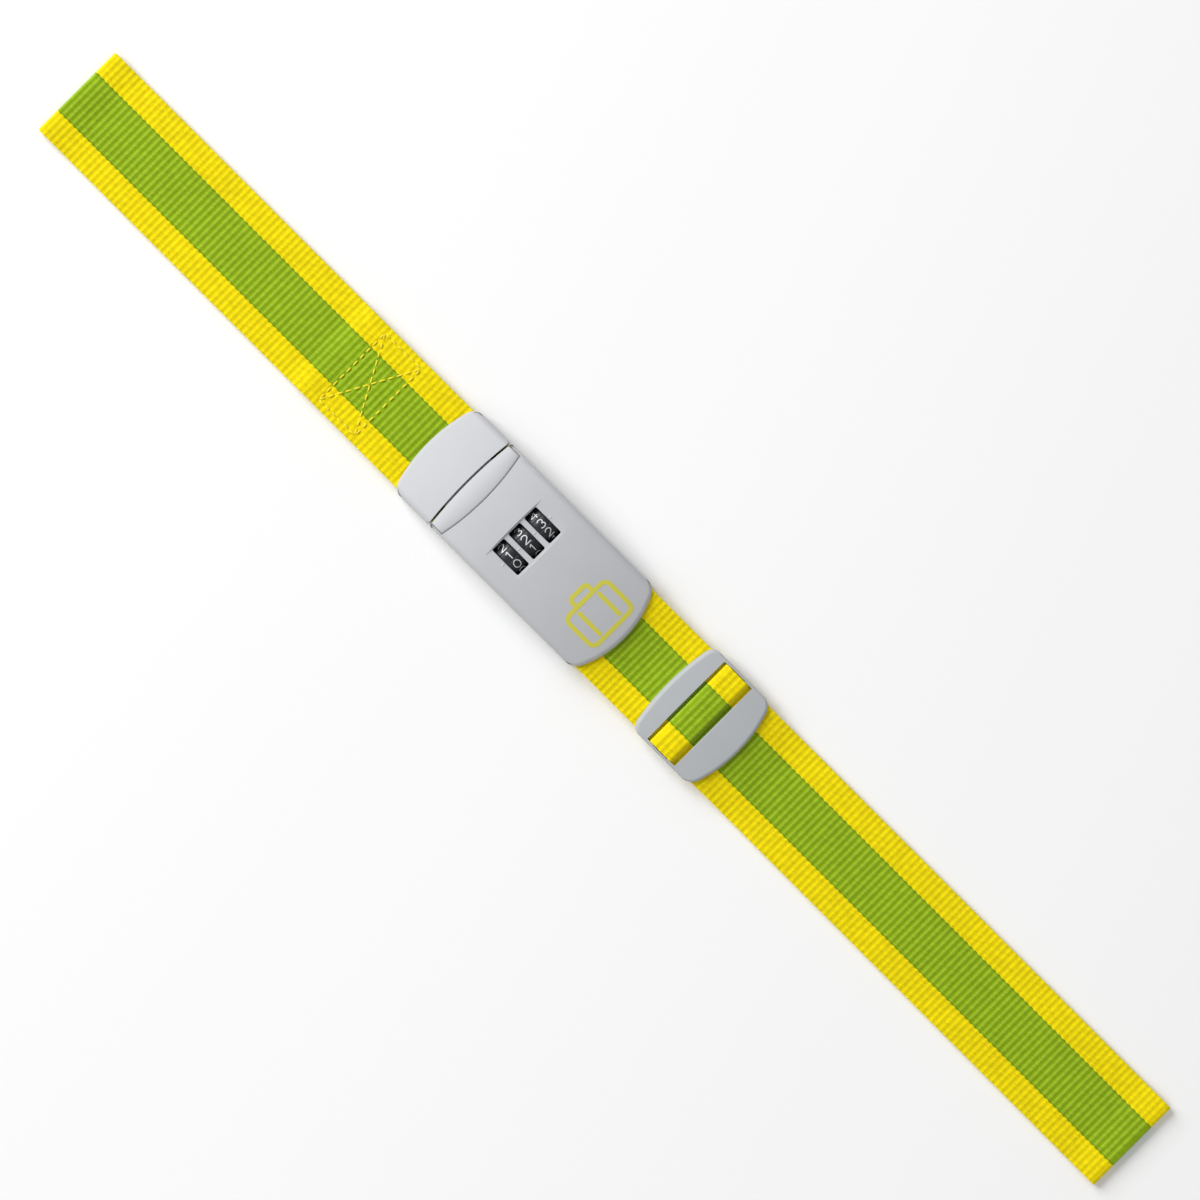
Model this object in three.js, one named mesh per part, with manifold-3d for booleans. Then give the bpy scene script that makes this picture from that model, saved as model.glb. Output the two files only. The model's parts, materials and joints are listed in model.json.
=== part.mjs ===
// A webbing luggage strap with a three-dial combination lock, a push-in tongue and an adjusting slider.
// The strap lies flat as a closed loop. Millimetres, +Z up, +X along the strap from the tongue to the slider.
import * as THREE from "three";
import { mergeVertices } from "three/addons/utils/BufferGeometryUtils.js";
import Module from "manifold-3d";

const wasm = await Module();
wasm.setup();

// ---- driving dimensions -------------------------------------------------------------------------

// Webbing
const WEB_WIDTH = 50;
const WEB_THICK = 1.3;
const HALF_LENGTH = 342.2; // half of the folded strap
const GAP = 0.3; // between pieces that touch
const PLAY = 0.2; // round a pin that turns or slides in its hole
const FOLD_RADIUS = 1.5; // of the webbing's middle line at each end fold
const FOLD_RUN = 18; // from the fold to where its top layer lies flat
const FLOOR_RUN = 4; // from the fold to where it joins the back layer
const LAYER = WEB_THICK + GAP;
const FLOOR_MID = WEB_THICK / 2; // height of the middle of each layer of webbing
const SECOND_MID = FLOOR_MID + LAYER;
const THIRD_MID = SECOND_MID + LAYER;
const FOURTH_MID = THIRD_MID + LAYER;

// Outer shape that the lock and the tongue share
const BODY_HALF_WIDTH = 26.5;
const WALL = 1.2; // side walls, beside the webbing
const SKIN = 1.5; // top skin
const BODY_BOTTOM = WEB_THICK + GAP;
const PEAK_X = -53;
const PEAK_Z = 20.4;
const FRONT_FALL = 0.0034; // how fast the top falls towards the tongue's end, per mm
const TAIL_FALL = 0.0021; // and towards the slider
const CROSS_FALL = 0.0033; // and towards the sides
const CORNER_RADIUS = 4.5; // corners seen from above
const JOINT_CORNER_RADIUS = 1.2; // corners where the tongue meets the lock
const EDGE_RADIUS = 2; // rounded top edges

// Ends seen from above: where each curved end crosses the centre line, and its radius
const TONGUE_END = { x: -114.2, radius: 84 };
const TONGUE_FRONT = { x: -89.0, radius: 235 };
const LOCK_FRONT = { x: -88.0, radius: 235 };
const BUTTON_BACK = { x: -77.0, radius: 121 };
const LOCK_END = { x: 12.9, radius: 53 };
const SLIDER_START = { x: 41.3, radius: 126 };
const SLIDER_END = { x: 86.4, radius: 69 };

// Dials
const DIAL_X = -50.1;
const DIAL_Z = 11.7;
const DIAL_RADIUS = 8.6;
const DIAL_WIDTH = 7.0;
const DIAL_PITCH = 10.25;
const DIAL_BORE = 4.3;
const DIAL_BEVEL = 0.45;
const WINDOW_LENGTH = 16.5;
const WINDOW_WIDTH = 7.45;
const CHANNEL = { x0: -58.8, x1: -41.0, floor: 19.2 };
const SHAFT_RADIUS = 1.8;
const SLEEVE_RADIUS = 4.0;
const FLANGE_RADIUS = 5.0;
const FLANGE_THICK = 1.6;
const FLANGE_OFFSET = -5.12; // from the middle of its dial, in the gap between two dials
const GATE_WIDTH = 2.6;
const GATE_DEPTH = 1.8;

// Lock base: a plate with posts for the shaft, a fulcrum for the latch and a wall for the detent spring
const BASE_THICK = 1.2;
const BASE_TOP = BODY_BOTTOM + BASE_THICK;
const BASE_TAIL_X = -6;
const ROOT = 0.2; // how far a post is sunk into the plate it stands on
const SHAFT_HALF_LENGTH = 22;
const SHAFT_POST = { halfX: 3, y0: 17.2, y1: 20.2, rise: 3 };
const FULCRUM = { x: -66, halfX: 0.6, y: 15 };
const PEG = { y: 11, radius: 0.9, rise: 2, play: 0.3 };
const SPRING_POST = { radius: 1.1, top: 6 };
const DETENT_WALL = { x0: -38, x1: -36.6, y: 14, top: 8 };
const DETENT_THICK = 0.5;

// Button and latch
const FRONT_WALL_TOP = 11.4;
const BUTTON_BOTTOM = 13.2;
const BUTTON_BULGE = 0.6;
const LATCH_Z = 4.4;
const LATCH_THICK = 0.8;
const LATCH_WINGS = { x0: -84.5, x1: -79.5, y: 20 };
const LATCH_PLATE = { x0: -80, x1: -62, y: 15 };
const LATCH_HOOK = { x0: -79.2, tip: -77.6, x1: -76.8, y: 4, reach: 1.0 };
const FINGER_HALF = 1; // half the length of a finger's tip
const FINGER_WIDTH = 1.6;
const LEG = { x0: -84, x1: -81, y0: 17, y1: 19.5 };
const LIP = { front: 4, back: 1.8, y: 15, top: 15.6 }; // front and back from the button's back arc
const SPRING = { x: -80.5, y: 22.2, radius: 1.9, wire: 0.3, turns: 5 };

// Blade
const BLADE_Z = 7.2;
const BLADE_THICK = 1.5;
const BLADE_HALF_WIDTH = 15;
const BLADE_BACK_X = -98.6;
const BLADE_TIP_X = -70;
const BLADE_WINDOW = { x0: -81, x1: -76.5, y: 5 };

// Pins that the webbing wraps
const TONGUE_BAR = { x: -102, z: 4.8, radius: 1.4 };
const LOCK_BAR = { x: 2, z: 5.6, radius: 1.8 };
const BAR_HALF_LENGTH = 26;

// Screws: a recessed head and a shank that goes up into a boss
const SCREW = { head: 2.2, headHeight: 1.3, shank: 1.1, recess: 1.8, pad: 3.1, boss: 2.6 };
const LOCK_SCREWS = [
  [-71, -21.9],
  [-71, 21.9],
  [-24, -20],
  [-24, 20],
];
const TONGUE_SCREWS = [
  [-95.5, -20.5],
  [-95.5, 20.5],
];
const SCREW_PAD_TOP = 4.6;

// Slider
const SLIDER_LOW = 6.4;
const SLIDER_HIGH = 9.2;
const SLIDER_BEVEL = 0.7;
const SLIDER_RAIL_LOW = 4.4;
const LEFT_BAR_EDGE = 52.6;
const RIGHT_BAR_EDGE = 70.3;
const CENTRE_BAR = { x0: 56.7, x1: 65.8, z0: 4.4, z1: 6.8 };

// ---- solids --------------------------------------------------------------------------------------

/** A three.js geometry as a manifold solid. */
function solid(geometry) {
  const bare = geometry.clone();
  bare.deleteAttribute("normal");
  bare.deleteAttribute("uv");
  const merged = mergeVertices(bare, 1e-4);
  return new wasm.Manifold(
    new wasm.Mesh({
      numProp: 3,
      vertProperties: merged.attributes.position.array,
      triVerts: new Uint32Array(merged.index.array),
    }),
  );
}

/** A manifold solid as a three.js geometry. */
function surface(body) {
  const mesh = body.getMesh();
  const geometry = new THREE.BufferGeometry();
  geometry.setAttribute("position", new THREE.BufferAttribute(mesh.vertProperties, 3));
  geometry.setIndex(new THREE.BufferAttribute(mesh.triVerts, 1));
  geometry.computeVertexNormals();
  return geometry;
}

const joined = (first, ...rest) => rest.reduce((sum, part) => sum.add(part), first);
const without = (first, ...rest) => rest.reduce((left, part) => left.subtract(part), first);

/** A box between two corners. */
function box(x0, x1, y0, y1, z0, z1) {
  const block = new THREE.BoxGeometry(x1 - x0, y1 - y0, z1 - z0);
  return solid(block.translate((x0 + x1) / 2, (y0 + y1) / 2, (z0 + z1) / 2));
}

/** A round bar along Y. */
function barY(x, z, radius, y0, y1, sides = 24) {
  const bar = new THREE.CylinderGeometry(radius, radius, y1 - y0, sides);
  return solid(bar.translate(x, (y0 + y1) / 2, z));
}

/** A round post along Z. */
function postZ(x, y, radius, z0, z1, sides = 20) {
  const post = new THREE.CylinderGeometry(radius, radius, z1 - z0, sides);
  return solid(post.rotateX(Math.PI / 2).translate(x, y, (z0 + z1) / 2));
}

/** A shape drawn in X and Z, extruded from y0 to y1. */
function prismY(shape, y0, y1) {
  const prism = new THREE.ExtrudeGeometry(shape, { depth: y1 - y0, bevelEnabled: false });
  return solid(prism.rotateX(Math.PI / 2).translate(0, y1, 0));
}

/** A closed profile [radius, along] turned round an axis along Y through (x, z). */
function turnedY(profile, x, y, z, sides) {
  const points = [...profile, profile[0]].map(([radius, along]) => new THREE.Vector2(radius, along));
  return solid(new THREE.LatheGeometry(points, sides).translate(x, y, z));
}

// ---- outer shape of the lock and tongue -----------------------------------------------------------

/** How far a circular end has drawn back at a distance y from the centre line. */
const sag = (y, radius) => radius - Math.sqrt(radius * radius - y * y);

/** Height of the crowned top at a point. */
function crown(x, y) {
  const fall = x < PEAK_X ? FRONT_FALL : TAIL_FALL;
  return PEAK_Z - fall * (x - PEAK_X) ** 2 - CROSS_FALL * y * y;
}

/** Extra draw-back that rounds a corner seen from above. */
function cornerCut(y, halfWidth, radius) {
  const past = Math.abs(y) - (halfWidth - radius);
  return past > 0 ? radius - Math.sqrt(Math.max(0, radius * radius - past * past)) : 0;
}

/** How far a rounded edge lies below the top, at distances dx and dy from two edges. */
function edgeDrop(dx, dy, radius) {
  const reach = Math.hypot(Math.max(0, radius - dx), Math.max(0, radius - dy));
  return radius - Math.sqrt(Math.max(0, radius * radius - reach * reach));
}

/**
 * A block whose ends are curves seen from above and whose top is a curved surface.
 * left and right give X from y, top gives Z from x and y. edge rounds the top's rim.
 */
function crownedBlock({ left, right, halfWidth, bottom, top, edge = 0, nx, ny }) {
  const block = new THREE.BoxGeometry(1, 1, 1, nx, ny, 1);
  const place = block.attributes.position;
  for (let i = 0; i < place.count; i++) {
    const along = (1 - Math.cos(Math.PI * (place.getX(i) + 0.5))) / 2;
    const y = Math.sin(Math.PI * place.getY(i)) * halfWidth;
    const x0 = left(y);
    const x1 = right(y);
    const x = x0 + along * (x1 - x0);
    const drop = edge ? edgeDrop(Math.min(x - x0, x1 - x), halfWidth - Math.abs(y), edge) : 0;
    const z = place.getZ(i) > 0 ? top(x, y) - drop : bottom;
    place.setXYZ(i, x, y, z);
  }
  return solid(block);
}

const arcLeft = (end, inset = 0) => (y) => end.x + inset + sag(y, end.radius);
const arcRight = (end, inset = 0) => (y) => end.x - inset - sag(y, end.radius);

/** An end curve with rounded corners at the body's sides. */
const roundedLeft = (end, radius) => (y) => arcLeft(end)(y) + cornerCut(y, BODY_HALF_WIDTH, radius);
const roundedRight = (end, radius) => (y) => arcRight(end)(y) - cornerCut(y, BODY_HALF_WIDTH, radius);

/** The hollow under a crowned skin. It reaches down through the open bottom. */
function hollow(left, right, nx) {
  return crownedBlock({
    left,
    right,
    halfWidth: BODY_HALF_WIDTH - WALL,
    bottom: BODY_BOTTOM - 1,
    top: (x, y) => crown(x, y) - SKIN,
    nx,
    ny: 8,
  });
}

// ---- webbing -------------------------------------------------------------------------------------

/** A line through corners [x, z, radius] in the side view, each inner corner rounded off. */
function roundedLine(corners) {
  const points = corners.map(([x, z]) => new THREE.Vector2(x, z));
  const path = new THREE.Path().moveTo(points[0].x, points[0].y);
  for (let i = 1; i < points.length - 1; i++) {
    const back = points[i - 1].clone().sub(points[i]).normalize();
    const ahead = points[i + 1].clone().sub(points[i]).normalize();
    const reach = corners[i][2] / Math.tan(back.angleTo(ahead) / 2);
    const start = points[i].clone().addScaledVector(back, reach);
    const end = points[i].clone().addScaledVector(ahead, reach);
    path.lineTo(start.x, start.y);
    path.quadraticCurveTo(points[i].x, points[i].y, end.x, end.y);
  }
  path.lineTo(points.at(-1).x, points.at(-1).y);
  const samples = path.getPoints(5);
  return samples.filter((p, i) => i === 0 || p.distanceTo(samples[i - 1]) > 1e-3);
}

/** A ribbon of webbing whose middle line, seen from the side, is a list of points. */
function ribbon(line) {
  const rims = [[], []];
  line.forEach((point, i) => {
    const before = line[Math.max(i - 1, 0)];
    const after = line[Math.min(i + 1, line.length - 1)];
    const tangent = after.clone().sub(before).normalize();
    const normal = new THREE.Vector2(-tangent.y, tangent.x);
    rims[0].push(point.clone().addScaledVector(normal, WEB_THICK / 2));
    rims[1].unshift(point.clone().addScaledVector(normal, -WEB_THICK / 2));
  });
  return prismY(new THREE.Shape([...rims[0], ...rims[1]]), -WEB_WIDTH / 2, WEB_WIDTH / 2);
}

/** Points of a half-turn round a centre, from angle a to angle b in degrees. */
function arc(x, z, radius, a, b, steps = 8) {
  const points = [];
  for (let i = 0; i <= steps; i++) {
    const angle = ((a + ((b - a) * i) / steps) * Math.PI) / 180;
    points.push(new THREE.Vector2(x + radius * Math.cos(angle), z + radius * Math.sin(angle)));
  }
  return points;
}

/** Points of an easy S from one height to another. */
function slope(x0, z0, x1, z1, steps = 6) {
  const points = [];
  for (let i = 0; i <= steps; i++) {
    const t = i / steps;
    points.push(new THREE.Vector2(x0 + (x1 - x0) * t, z0 + (z1 - z0) * t * t * (3 - 2 * t)));
  }
  return points;
}

const FOLD_X = HALF_LENGTH - FOLD_RADIUS - WEB_THICK / 2;
const FOLD_END_X = FOLD_X - FOLD_RUN;
const FLOOR_END_X = FOLD_X - FLOOR_RUN;
const TAIL_END_X = -168; // end of the tongue's sewn tail
const TONGUE_STEP = { x0: -182, x1: -171 }; // where the top layer climbs onto that tail
const TONGUE_RISE_X = -113; // where the webbing starts to rise to the tongue's bar
const SLIDER_TAIL_X = 22; // end of the slider's sewn tail
const LOOP_RISE = { x0: 58, x1: 61.5 }; // where the lower layer climbs to the slider's middle bar
const BEND_RADIUS = 1.2; // of a sharp bend's middle line

/** The back layer of the loop, which the strap lies on. */
function webbingFloor() {
  return ribbon([new THREE.Vector2(-FLOOR_END_X, FLOOR_MID), new THREE.Vector2(FLOOR_END_X, FLOOR_MID)]);
}

/** The fold at one end of the loop: side is -1 at the tongue's end and 1 at the slider's end. */
function webbingFold(side) {
  const foldZ = FLOOR_MID + FOLD_RADIUS;
  const line = [
    ...slope(FOLD_END_X, SECOND_MID, FOLD_X - 1, foldZ + FOLD_RADIUS),
    ...arc(FOLD_X, foldZ, FOLD_RADIUS, 90, -90),
    new THREE.Vector2(FLOOR_END_X + GAP, FLOOR_MID),
  ];
  return ribbon(line.map((point) => new THREE.Vector2(side * point.x, point.y)));
}

/** Top of the loop from the left fold to the sewn tail. */
function webbingLeftRun() {
  return ribbon([
    new THREE.Vector2(-FOLD_END_X + GAP, SECOND_MID),
    ...slope(TONGUE_STEP.x0, SECOND_MID, TONGUE_STEP.x1, THIRD_MID),
  ]);
}

/** Webbing round the tongue's bar, turned back and sewn under itself. */
function webbingTongueLoop() {
  const wrap = TONGUE_BAR.radius + GAP + WEB_THICK / 2;
  return ribbon([
    new THREE.Vector2(TONGUE_STEP.x1 + GAP, THIRD_MID),
    ...slope(TONGUE_RISE_X, THIRD_MID, TONGUE_BAR.x - 1, TONGUE_BAR.z + wrap),
    ...arc(TONGUE_BAR.x, TONGUE_BAR.z, wrap, 90, -90),
    ...slope(TONGUE_BAR.x - 1, TONGUE_BAR.z - wrap, TONGUE_BAR.x - 10, SECOND_MID, 4),
    new THREE.Vector2(TAIL_END_X, SECOND_MID),
  ]);
}

const LOCK_WRAP = LOCK_BAR.radius + GAP + WEB_THICK / 2;
const SLIDER_RUN = { x0: LOCK_BAR.x + 2, x1: 46 }; // webbing between the lock and the slider
const RETURN_RUN = { x0: LOCK_BAR.x + 2, x1: 46 };
const RIGHT_RUN_X = 78;

/** Webbing round the lock's bar. */
function webbingLockLoop() {
  return ribbon([
    new THREE.Vector2(SLIDER_RUN.x0, LOCK_BAR.z + LOCK_WRAP),
    ...arc(LOCK_BAR.x, LOCK_BAR.z, LOCK_WRAP, 90, 270, 10),
    new THREE.Vector2(RETURN_RUN.x0, LOCK_BAR.z - LOCK_WRAP),
  ]);
}

/** Top layer from the lock's bar down to the slider's first bar. */
function webbingSliderRun() {
  return ribbon([
    ...slope(SLIDER_RUN.x0 + GAP, LOCK_BAR.z + LOCK_WRAP, 34, FOURTH_MID, 8),
    new THREE.Vector2(SLIDER_RUN.x1, FOURTH_MID),
  ]);
}

/** Lower layer from the lock's bar back towards the slider. */
function webbingReturnRun() {
  return ribbon([
    ...slope(RETURN_RUN.x0 + GAP, LOCK_BAR.z - LOCK_WRAP, 16, SECOND_MID, 5),
    new THREE.Vector2(RETURN_RUN.x1, SECOND_MID),
  ]);
}

/** The end of the webbing, sewn round the slider's middle bar. */
function webbingSliderLoop() {
  const side = WEB_THICK / 2 + PLAY;
  const left = CENTRE_BAR.x0 - side;
  const right = CENTRE_BAR.x1 + side;
  return ribbon(
    roundedLine([
      [RETURN_RUN.x1 + GAP, SECOND_MID, 0],
      [LOOP_RISE.x0, SECOND_MID, 2],
      [LOOP_RISE.x1, CENTRE_BAR.z0 - side, 2],
      [right, CENTRE_BAR.z0 - side, BEND_RADIUS],
      [right, CENTRE_BAR.z1 + side, BEND_RADIUS],
      [left, CENTRE_BAR.z1 + side, BEND_RADIUS],
      [left, THIRD_MID, BEND_RADIUS],
      [SLIDER_TAIL_X, THIRD_MID, 0],
    ]),
  );
}

/** The running layer: under one bar of the slider, over its middle bar and under the other. */
function webbingSliderHump() {
  const side = WEB_THICK * 1.5 + 0.4;
  const left = CENTRE_BAR.x0 - side;
  const right = CENTRE_BAR.x1 + side;
  return ribbon(
    roundedLine([
      [SLIDER_RUN.x1 + GAP, FOURTH_MID, 0],
      [left, FOURTH_MID, BEND_RADIUS],
      [left, CENTRE_BAR.z1 + side, 2],
      [right, CENTRE_BAR.z1 + side, 2],
      [right, FOURTH_MID, BEND_RADIUS],
      [RIGHT_RUN_X - GAP, FOURTH_MID, 0],
    ]),
  );
}

/** Top of the loop from the slider to the right fold. */
function webbingRightRun() {
  return ribbon([
    ...slope(RIGHT_RUN_X, FOURTH_MID, 108, SECOND_MID, 8),
    new THREE.Vector2(FOLD_END_X - GAP, SECOND_MID),
  ]);
}

// ---- lock ----------------------------------------------------------------------------------------

/** Bosses that hang from the skin and take the screws. */
function bosses(places, bottom) {
  return places.map(([x, y]) => {
    const post = postZ(x, y, SCREW.boss, bottom, crown(x, y) - SKIN / 2, 12);
    return without(post, postZ(x, y, SCREW.shank + GAP, bottom - 1, crown(x, y) - SKIN - 1, 12));
  });
}

/** Windows for the dials. */
function windows() {
  return [-1, 0, 1].map((i) =>
    box(
      DIAL_X - WINDOW_LENGTH / 2,
      DIAL_X + WINDOW_LENGTH / 2,
      i * DIAL_PITCH - WINDOW_WIDTH / 2,
      i * DIAL_PITCH + WINDOW_WIDTH / 2,
      DIAL_Z,
      PEAK_Z + 1,
    ),
  );
}

/** The lock's top shell, open below and at its tail. */
function lockCover() {
  const inner = BODY_HALF_WIDTH - WALL;
  const shell = crownedBlock({
    left: roundedLeft(LOCK_FRONT, JOINT_CORNER_RADIUS),
    right: roundedRight(LOCK_END, CORNER_RADIUS),
    halfWidth: BODY_HALF_WIDTH,
    bottom: BODY_BOTTOM,
    top: crown,
    edge: EDGE_RADIUS,
    nx: 26,
    ny: 12,
  });
  const room = hollow(arcLeft(LOCK_FRONT, WALL), () => LOCK_END.x + 10, 12);
  const buttonBed = crownedBlock({
    left: () => LOCK_FRONT.x - 5,
    right: arcRight(BUTTON_BACK),
    halfWidth: inner,
    bottom: FRONT_WALL_TOP,
    top: () => PEAK_Z + 2,
    nx: 2,
    ny: 8,
  });
  const tailMouth = box(BASE_TAIL_X + 6, LOCK_END.x + 5, -inner, inner, 0, LOCK_BAR.z + 4);
  const channel = box(CHANNEL.x0, CHANNEL.x1, -inner, inner, CHANNEL.floor, PEAK_Z + 1);
  const bladeSlot = box(
    LOCK_FRONT.x - 2,
    LOCK_FRONT.x + 4,
    -BLADE_HALF_WIDTH - GAP,
    BLADE_HALF_WIDTH + GAP,
    BLADE_Z - GAP,
    BLADE_Z + BLADE_THICK + GAP,
  );
  const carved = without(
    shell,
    room,
    buttonBed,
    tailMouth,
    channel,
    bladeSlot,
    barHole(LOCK_BAR),
    ...windows(),
  );
  return joined(carved, ...bosses(LOCK_SCREWS, SCREW_PAD_TOP + GAP));
}

/** A steel pin that the webbing wraps. */
function webbingBar(bar) {
  return barY(bar.x, bar.z, bar.radius, -BAR_HALF_LENGTH, BAR_HALF_LENGTH);
}

/** The hole for such a pin. */
function barHole(bar) {
  const reach = BAR_HALF_LENGTH + PLAY;
  return barY(bar.x, bar.z, bar.radius + PLAY, -reach, reach);
}

/** A pad round a screw's head, with its recess and hole. */
function screwPad(x, y) {
  return postZ(x, y, SCREW.pad, BODY_BOTTOM, SCREW_PAD_TOP, 16);
}

function screwHole(x, y) {
  return joined(
    postZ(x, y, SCREW.head + GAP, BODY_BOTTOM - 1, BODY_BOTTOM + SCREW.recess, 16),
    postZ(x, y, SCREW.shank + GAP, BODY_BOTTOM, SCREW_PAD_TOP + 3, 16),
  );
}

/** One of the two posts that carry the dials' shaft. */
function shaftPost(side) {
  const y0 = side > 0 ? SHAFT_POST.y0 : -SHAFT_POST.y1;
  const y1 = side > 0 ? SHAFT_POST.y1 : -SHAFT_POST.y0;
  const post = box(
    DIAL_X - SHAFT_POST.halfX,
    DIAL_X + SHAFT_POST.halfX,
    y0,
    y1,
    BASE_TOP - ROOT,
    DIAL_Z + SHAFT_POST.rise,
  );
  return without(post, barY(DIAL_X, DIAL_Z, SHAFT_RADIUS + PLAY, y0 - 1, y1 + 1));
}

/** The lock's bottom plate with the shaft's posts, the latch's fulcrum and the spring posts. */
function lockBase() {
  const half = BODY_HALF_WIDTH - WALL - GAP;
  const plate = crownedBlock({
    left: arcLeft(LOCK_FRONT, WALL + GAP),
    right: () => BASE_TAIL_X,
    halfWidth: half,
    bottom: BODY_BOTTOM,
    top: () => BASE_TOP,
    nx: 1,
    ny: 8,
  });
  const low = BASE_TOP - ROOT;
  const shaftPosts = [-1, 1].map((side) => shaftPost(side));
  const fulcrum = box(
    FULCRUM.x - FULCRUM.halfX,
    FULCRUM.x + FULCRUM.halfX,
    -FULCRUM.y,
    FULCRUM.y,
    low,
    LATCH_Z - GAP,
  );
  const pegs = [-1, 1].map((side) =>
    postZ(FULCRUM.x, side * PEG.y, PEG.radius, BASE_TOP, LATCH_Z + PEG.rise, 12),
  );
  const springPosts = [-1, 1].map((side) =>
    postZ(SPRING.x, side * SPRING.y, SPRING_POST.radius, low, SPRING_POST.top, 12),
  );
  const detentWall = box(
    DETENT_WALL.x0,
    DETENT_WALL.x1,
    -DETENT_WALL.y,
    DETENT_WALL.y,
    low,
    DETENT_WALL.top,
  );
  const pads = LOCK_SCREWS.map(([x, y]) => screwPad(x, y));
  const holes = LOCK_SCREWS.map(([x, y]) => screwHole(x, y));
  const posts = [...shaftPosts, fulcrum, ...pegs, ...springPosts, detentWall, ...pads];
  return without(joined(plate, ...posts), ...holes);
}

/** The push button across the front of the lock, with the two legs that press the latch. */
function releaseButton() {
  const half = BODY_HALF_WIDTH - WALL - GAP;
  const cap = crownedBlock({
    left: arcLeft(LOCK_FRONT),
    right: arcRight(BUTTON_BACK, GAP),
    halfWidth: half,
    bottom: BUTTON_BOTTOM,
    top: (x, y) => {
      const back = arcRight(BUTTON_BACK)(y);
      const front = arcLeft(LOCK_FRONT)(y);
      const t = (x - front) / (back - front);
      return crown(x, y) + BUTTON_BULGE * 4 * t * (1 - t);
    },
    edge: 0.8,
    nx: 10,
    ny: 12,
  });
  const lip = box(
    BUTTON_BACK.x - LIP.front,
    BUTTON_BACK.x + LIP.back,
    -LIP.y,
    LIP.y,
    BUTTON_BOTTOM,
    LIP.top,
  );
  const legs = [-1, 1].map((side) =>
    box(
      LEG.x0,
      LEG.x1,
      side > 0 ? LEG.y0 : -LEG.y1,
      side > 0 ? LEG.y1 : -LEG.y0,
      LATCH_Z + LATCH_THICK + GAP,
      BUTTON_BOTTOM + 0.5,
    ),
  );
  return joined(cap, lip, ...legs);
}

/** The steel latch: a hook for the blade, wings under the button's legs, fingers under the dials. */
function latchSpring() {
  const top = LATCH_Z + LATCH_THICK;
  const hookTop = BLADE_Z + LATCH_HOOK.reach;
  const wings = box(LATCH_WINGS.x0, LATCH_WINGS.x1, -LATCH_WINGS.y, LATCH_WINGS.y, LATCH_Z, top);
  const plate = box(LATCH_PLATE.x0, LATCH_PLATE.x1, -LATCH_PLATE.y, LATCH_PLATE.y, LATCH_Z, top);
  const hook = new THREE.Shape([
    new THREE.Vector2(LATCH_HOOK.x0, top - ROOT),
    new THREE.Vector2(LATCH_HOOK.x1, top - ROOT),
    new THREE.Vector2(LATCH_HOOK.x1, hookTop),
    new THREE.Vector2(LATCH_HOOK.tip, hookTop),
  ]);
  const fingers = [-1, 0, 1].flatMap((place) => latchFinger(place * DIAL_PITCH + FLANGE_OFFSET));
  const holes = [-1, 1].map((side) =>
    postZ(FULCRUM.x, side * PEG.y, PEG.radius + PEG.play, 0, LATCH_Z + PEG.rise, 12),
  );
  return without(joined(wings, plate, prismY(hook, -LATCH_HOOK.y, LATCH_HOOK.y), ...fingers), ...holes);
}

/** A finger that reaches from the latch's plate to under one sleeve's flange, and its upright tip. */
function latchFinger(y) {
  const top = LATCH_Z + LATCH_THICK;
  const half = FINGER_WIDTH / 2;
  const tipTop = DIAL_Z - FLANGE_RADIUS - GAP;
  return [
    box(LATCH_PLATE.x1 - 0.5, DIAL_X + FINGER_HALF, y - half, y + half, LATCH_Z, top),
    box(DIAL_X - FINGER_HALF, DIAL_X + FINGER_HALF, y - half, y + half, top - ROOT, tipTop),
  ];
}

/** A small coil spring round its post. */
class Helix extends THREE.Curve {
  constructor(radius, height, turns) {
    super();
    Object.assign(this, { radius, height, turns });
  }
  getPoint(t) {
    const angle = 2 * Math.PI * this.turns * t;
    return new THREE.Vector3(this.radius * Math.cos(angle), this.radius * Math.sin(angle), this.height * t);
  }
}

function buttonSpring(side) {
  const low = BASE_TOP + GAP + SPRING.wire;
  const high = BUTTON_BOTTOM - GAP - SPRING.wire;
  const wire = new THREE.Shape().absarc(0, 0, SPRING.wire, 0, 2 * Math.PI);
  const coil = new THREE.ExtrudeGeometry(wire, {
    steps: SPRING.turns * 12,
    curveSegments: 3,
    bevelEnabled: false,
    extrudePath: new Helix(SPRING.radius, high - low, SPRING.turns),
  });
  return solid(coil.translate(SPRING.x, side * SPRING.y, low));
}

/** A numbered wheel with bevelled edges. */
function dial(y) {
  const half = DIAL_WIDTH / 2;
  return turnedY(
    [
      [DIAL_BORE, -half],
      [DIAL_RADIUS - DIAL_BEVEL, -half],
      [DIAL_RADIUS, -half + DIAL_BEVEL],
      [DIAL_RADIUS, half - DIAL_BEVEL],
      [DIAL_RADIUS - DIAL_BEVEL, half],
      [DIAL_BORE, half],
    ],
    DIAL_X,
    y,
    DIAL_Z,
    40,
  );
}

/** The sleeve inside a wheel: its flange lets the latch's finger up only where its gate is. */
function dialSleeve(y) {
  const far = DIAL_WIDTH / 2 - GAP;
  const near = FLANGE_OFFSET + FLANGE_THICK / 2;
  const back = FLANGE_OFFSET - FLANGE_THICK / 2;
  const bore = SHAFT_RADIUS + PLAY;
  const profile = [
    [bore, back],
    [FLANGE_RADIUS, back],
    [FLANGE_RADIUS, near],
    [SLEEVE_RADIUS, near],
    [SLEEVE_RADIUS, far],
    [bore, far],
  ];
  const gate = box(
    DIAL_X - GATE_WIDTH / 2,
    DIAL_X + GATE_WIDTH / 2,
    y + back - 1,
    y + near,
    DIAL_Z - FLANGE_RADIUS - 1,
    DIAL_Z - FLANGE_RADIUS + GATE_DEPTH,
  );
  return without(turnedY(profile, DIAL_X, y, DIAL_Z, 24), gate);
}

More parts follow.
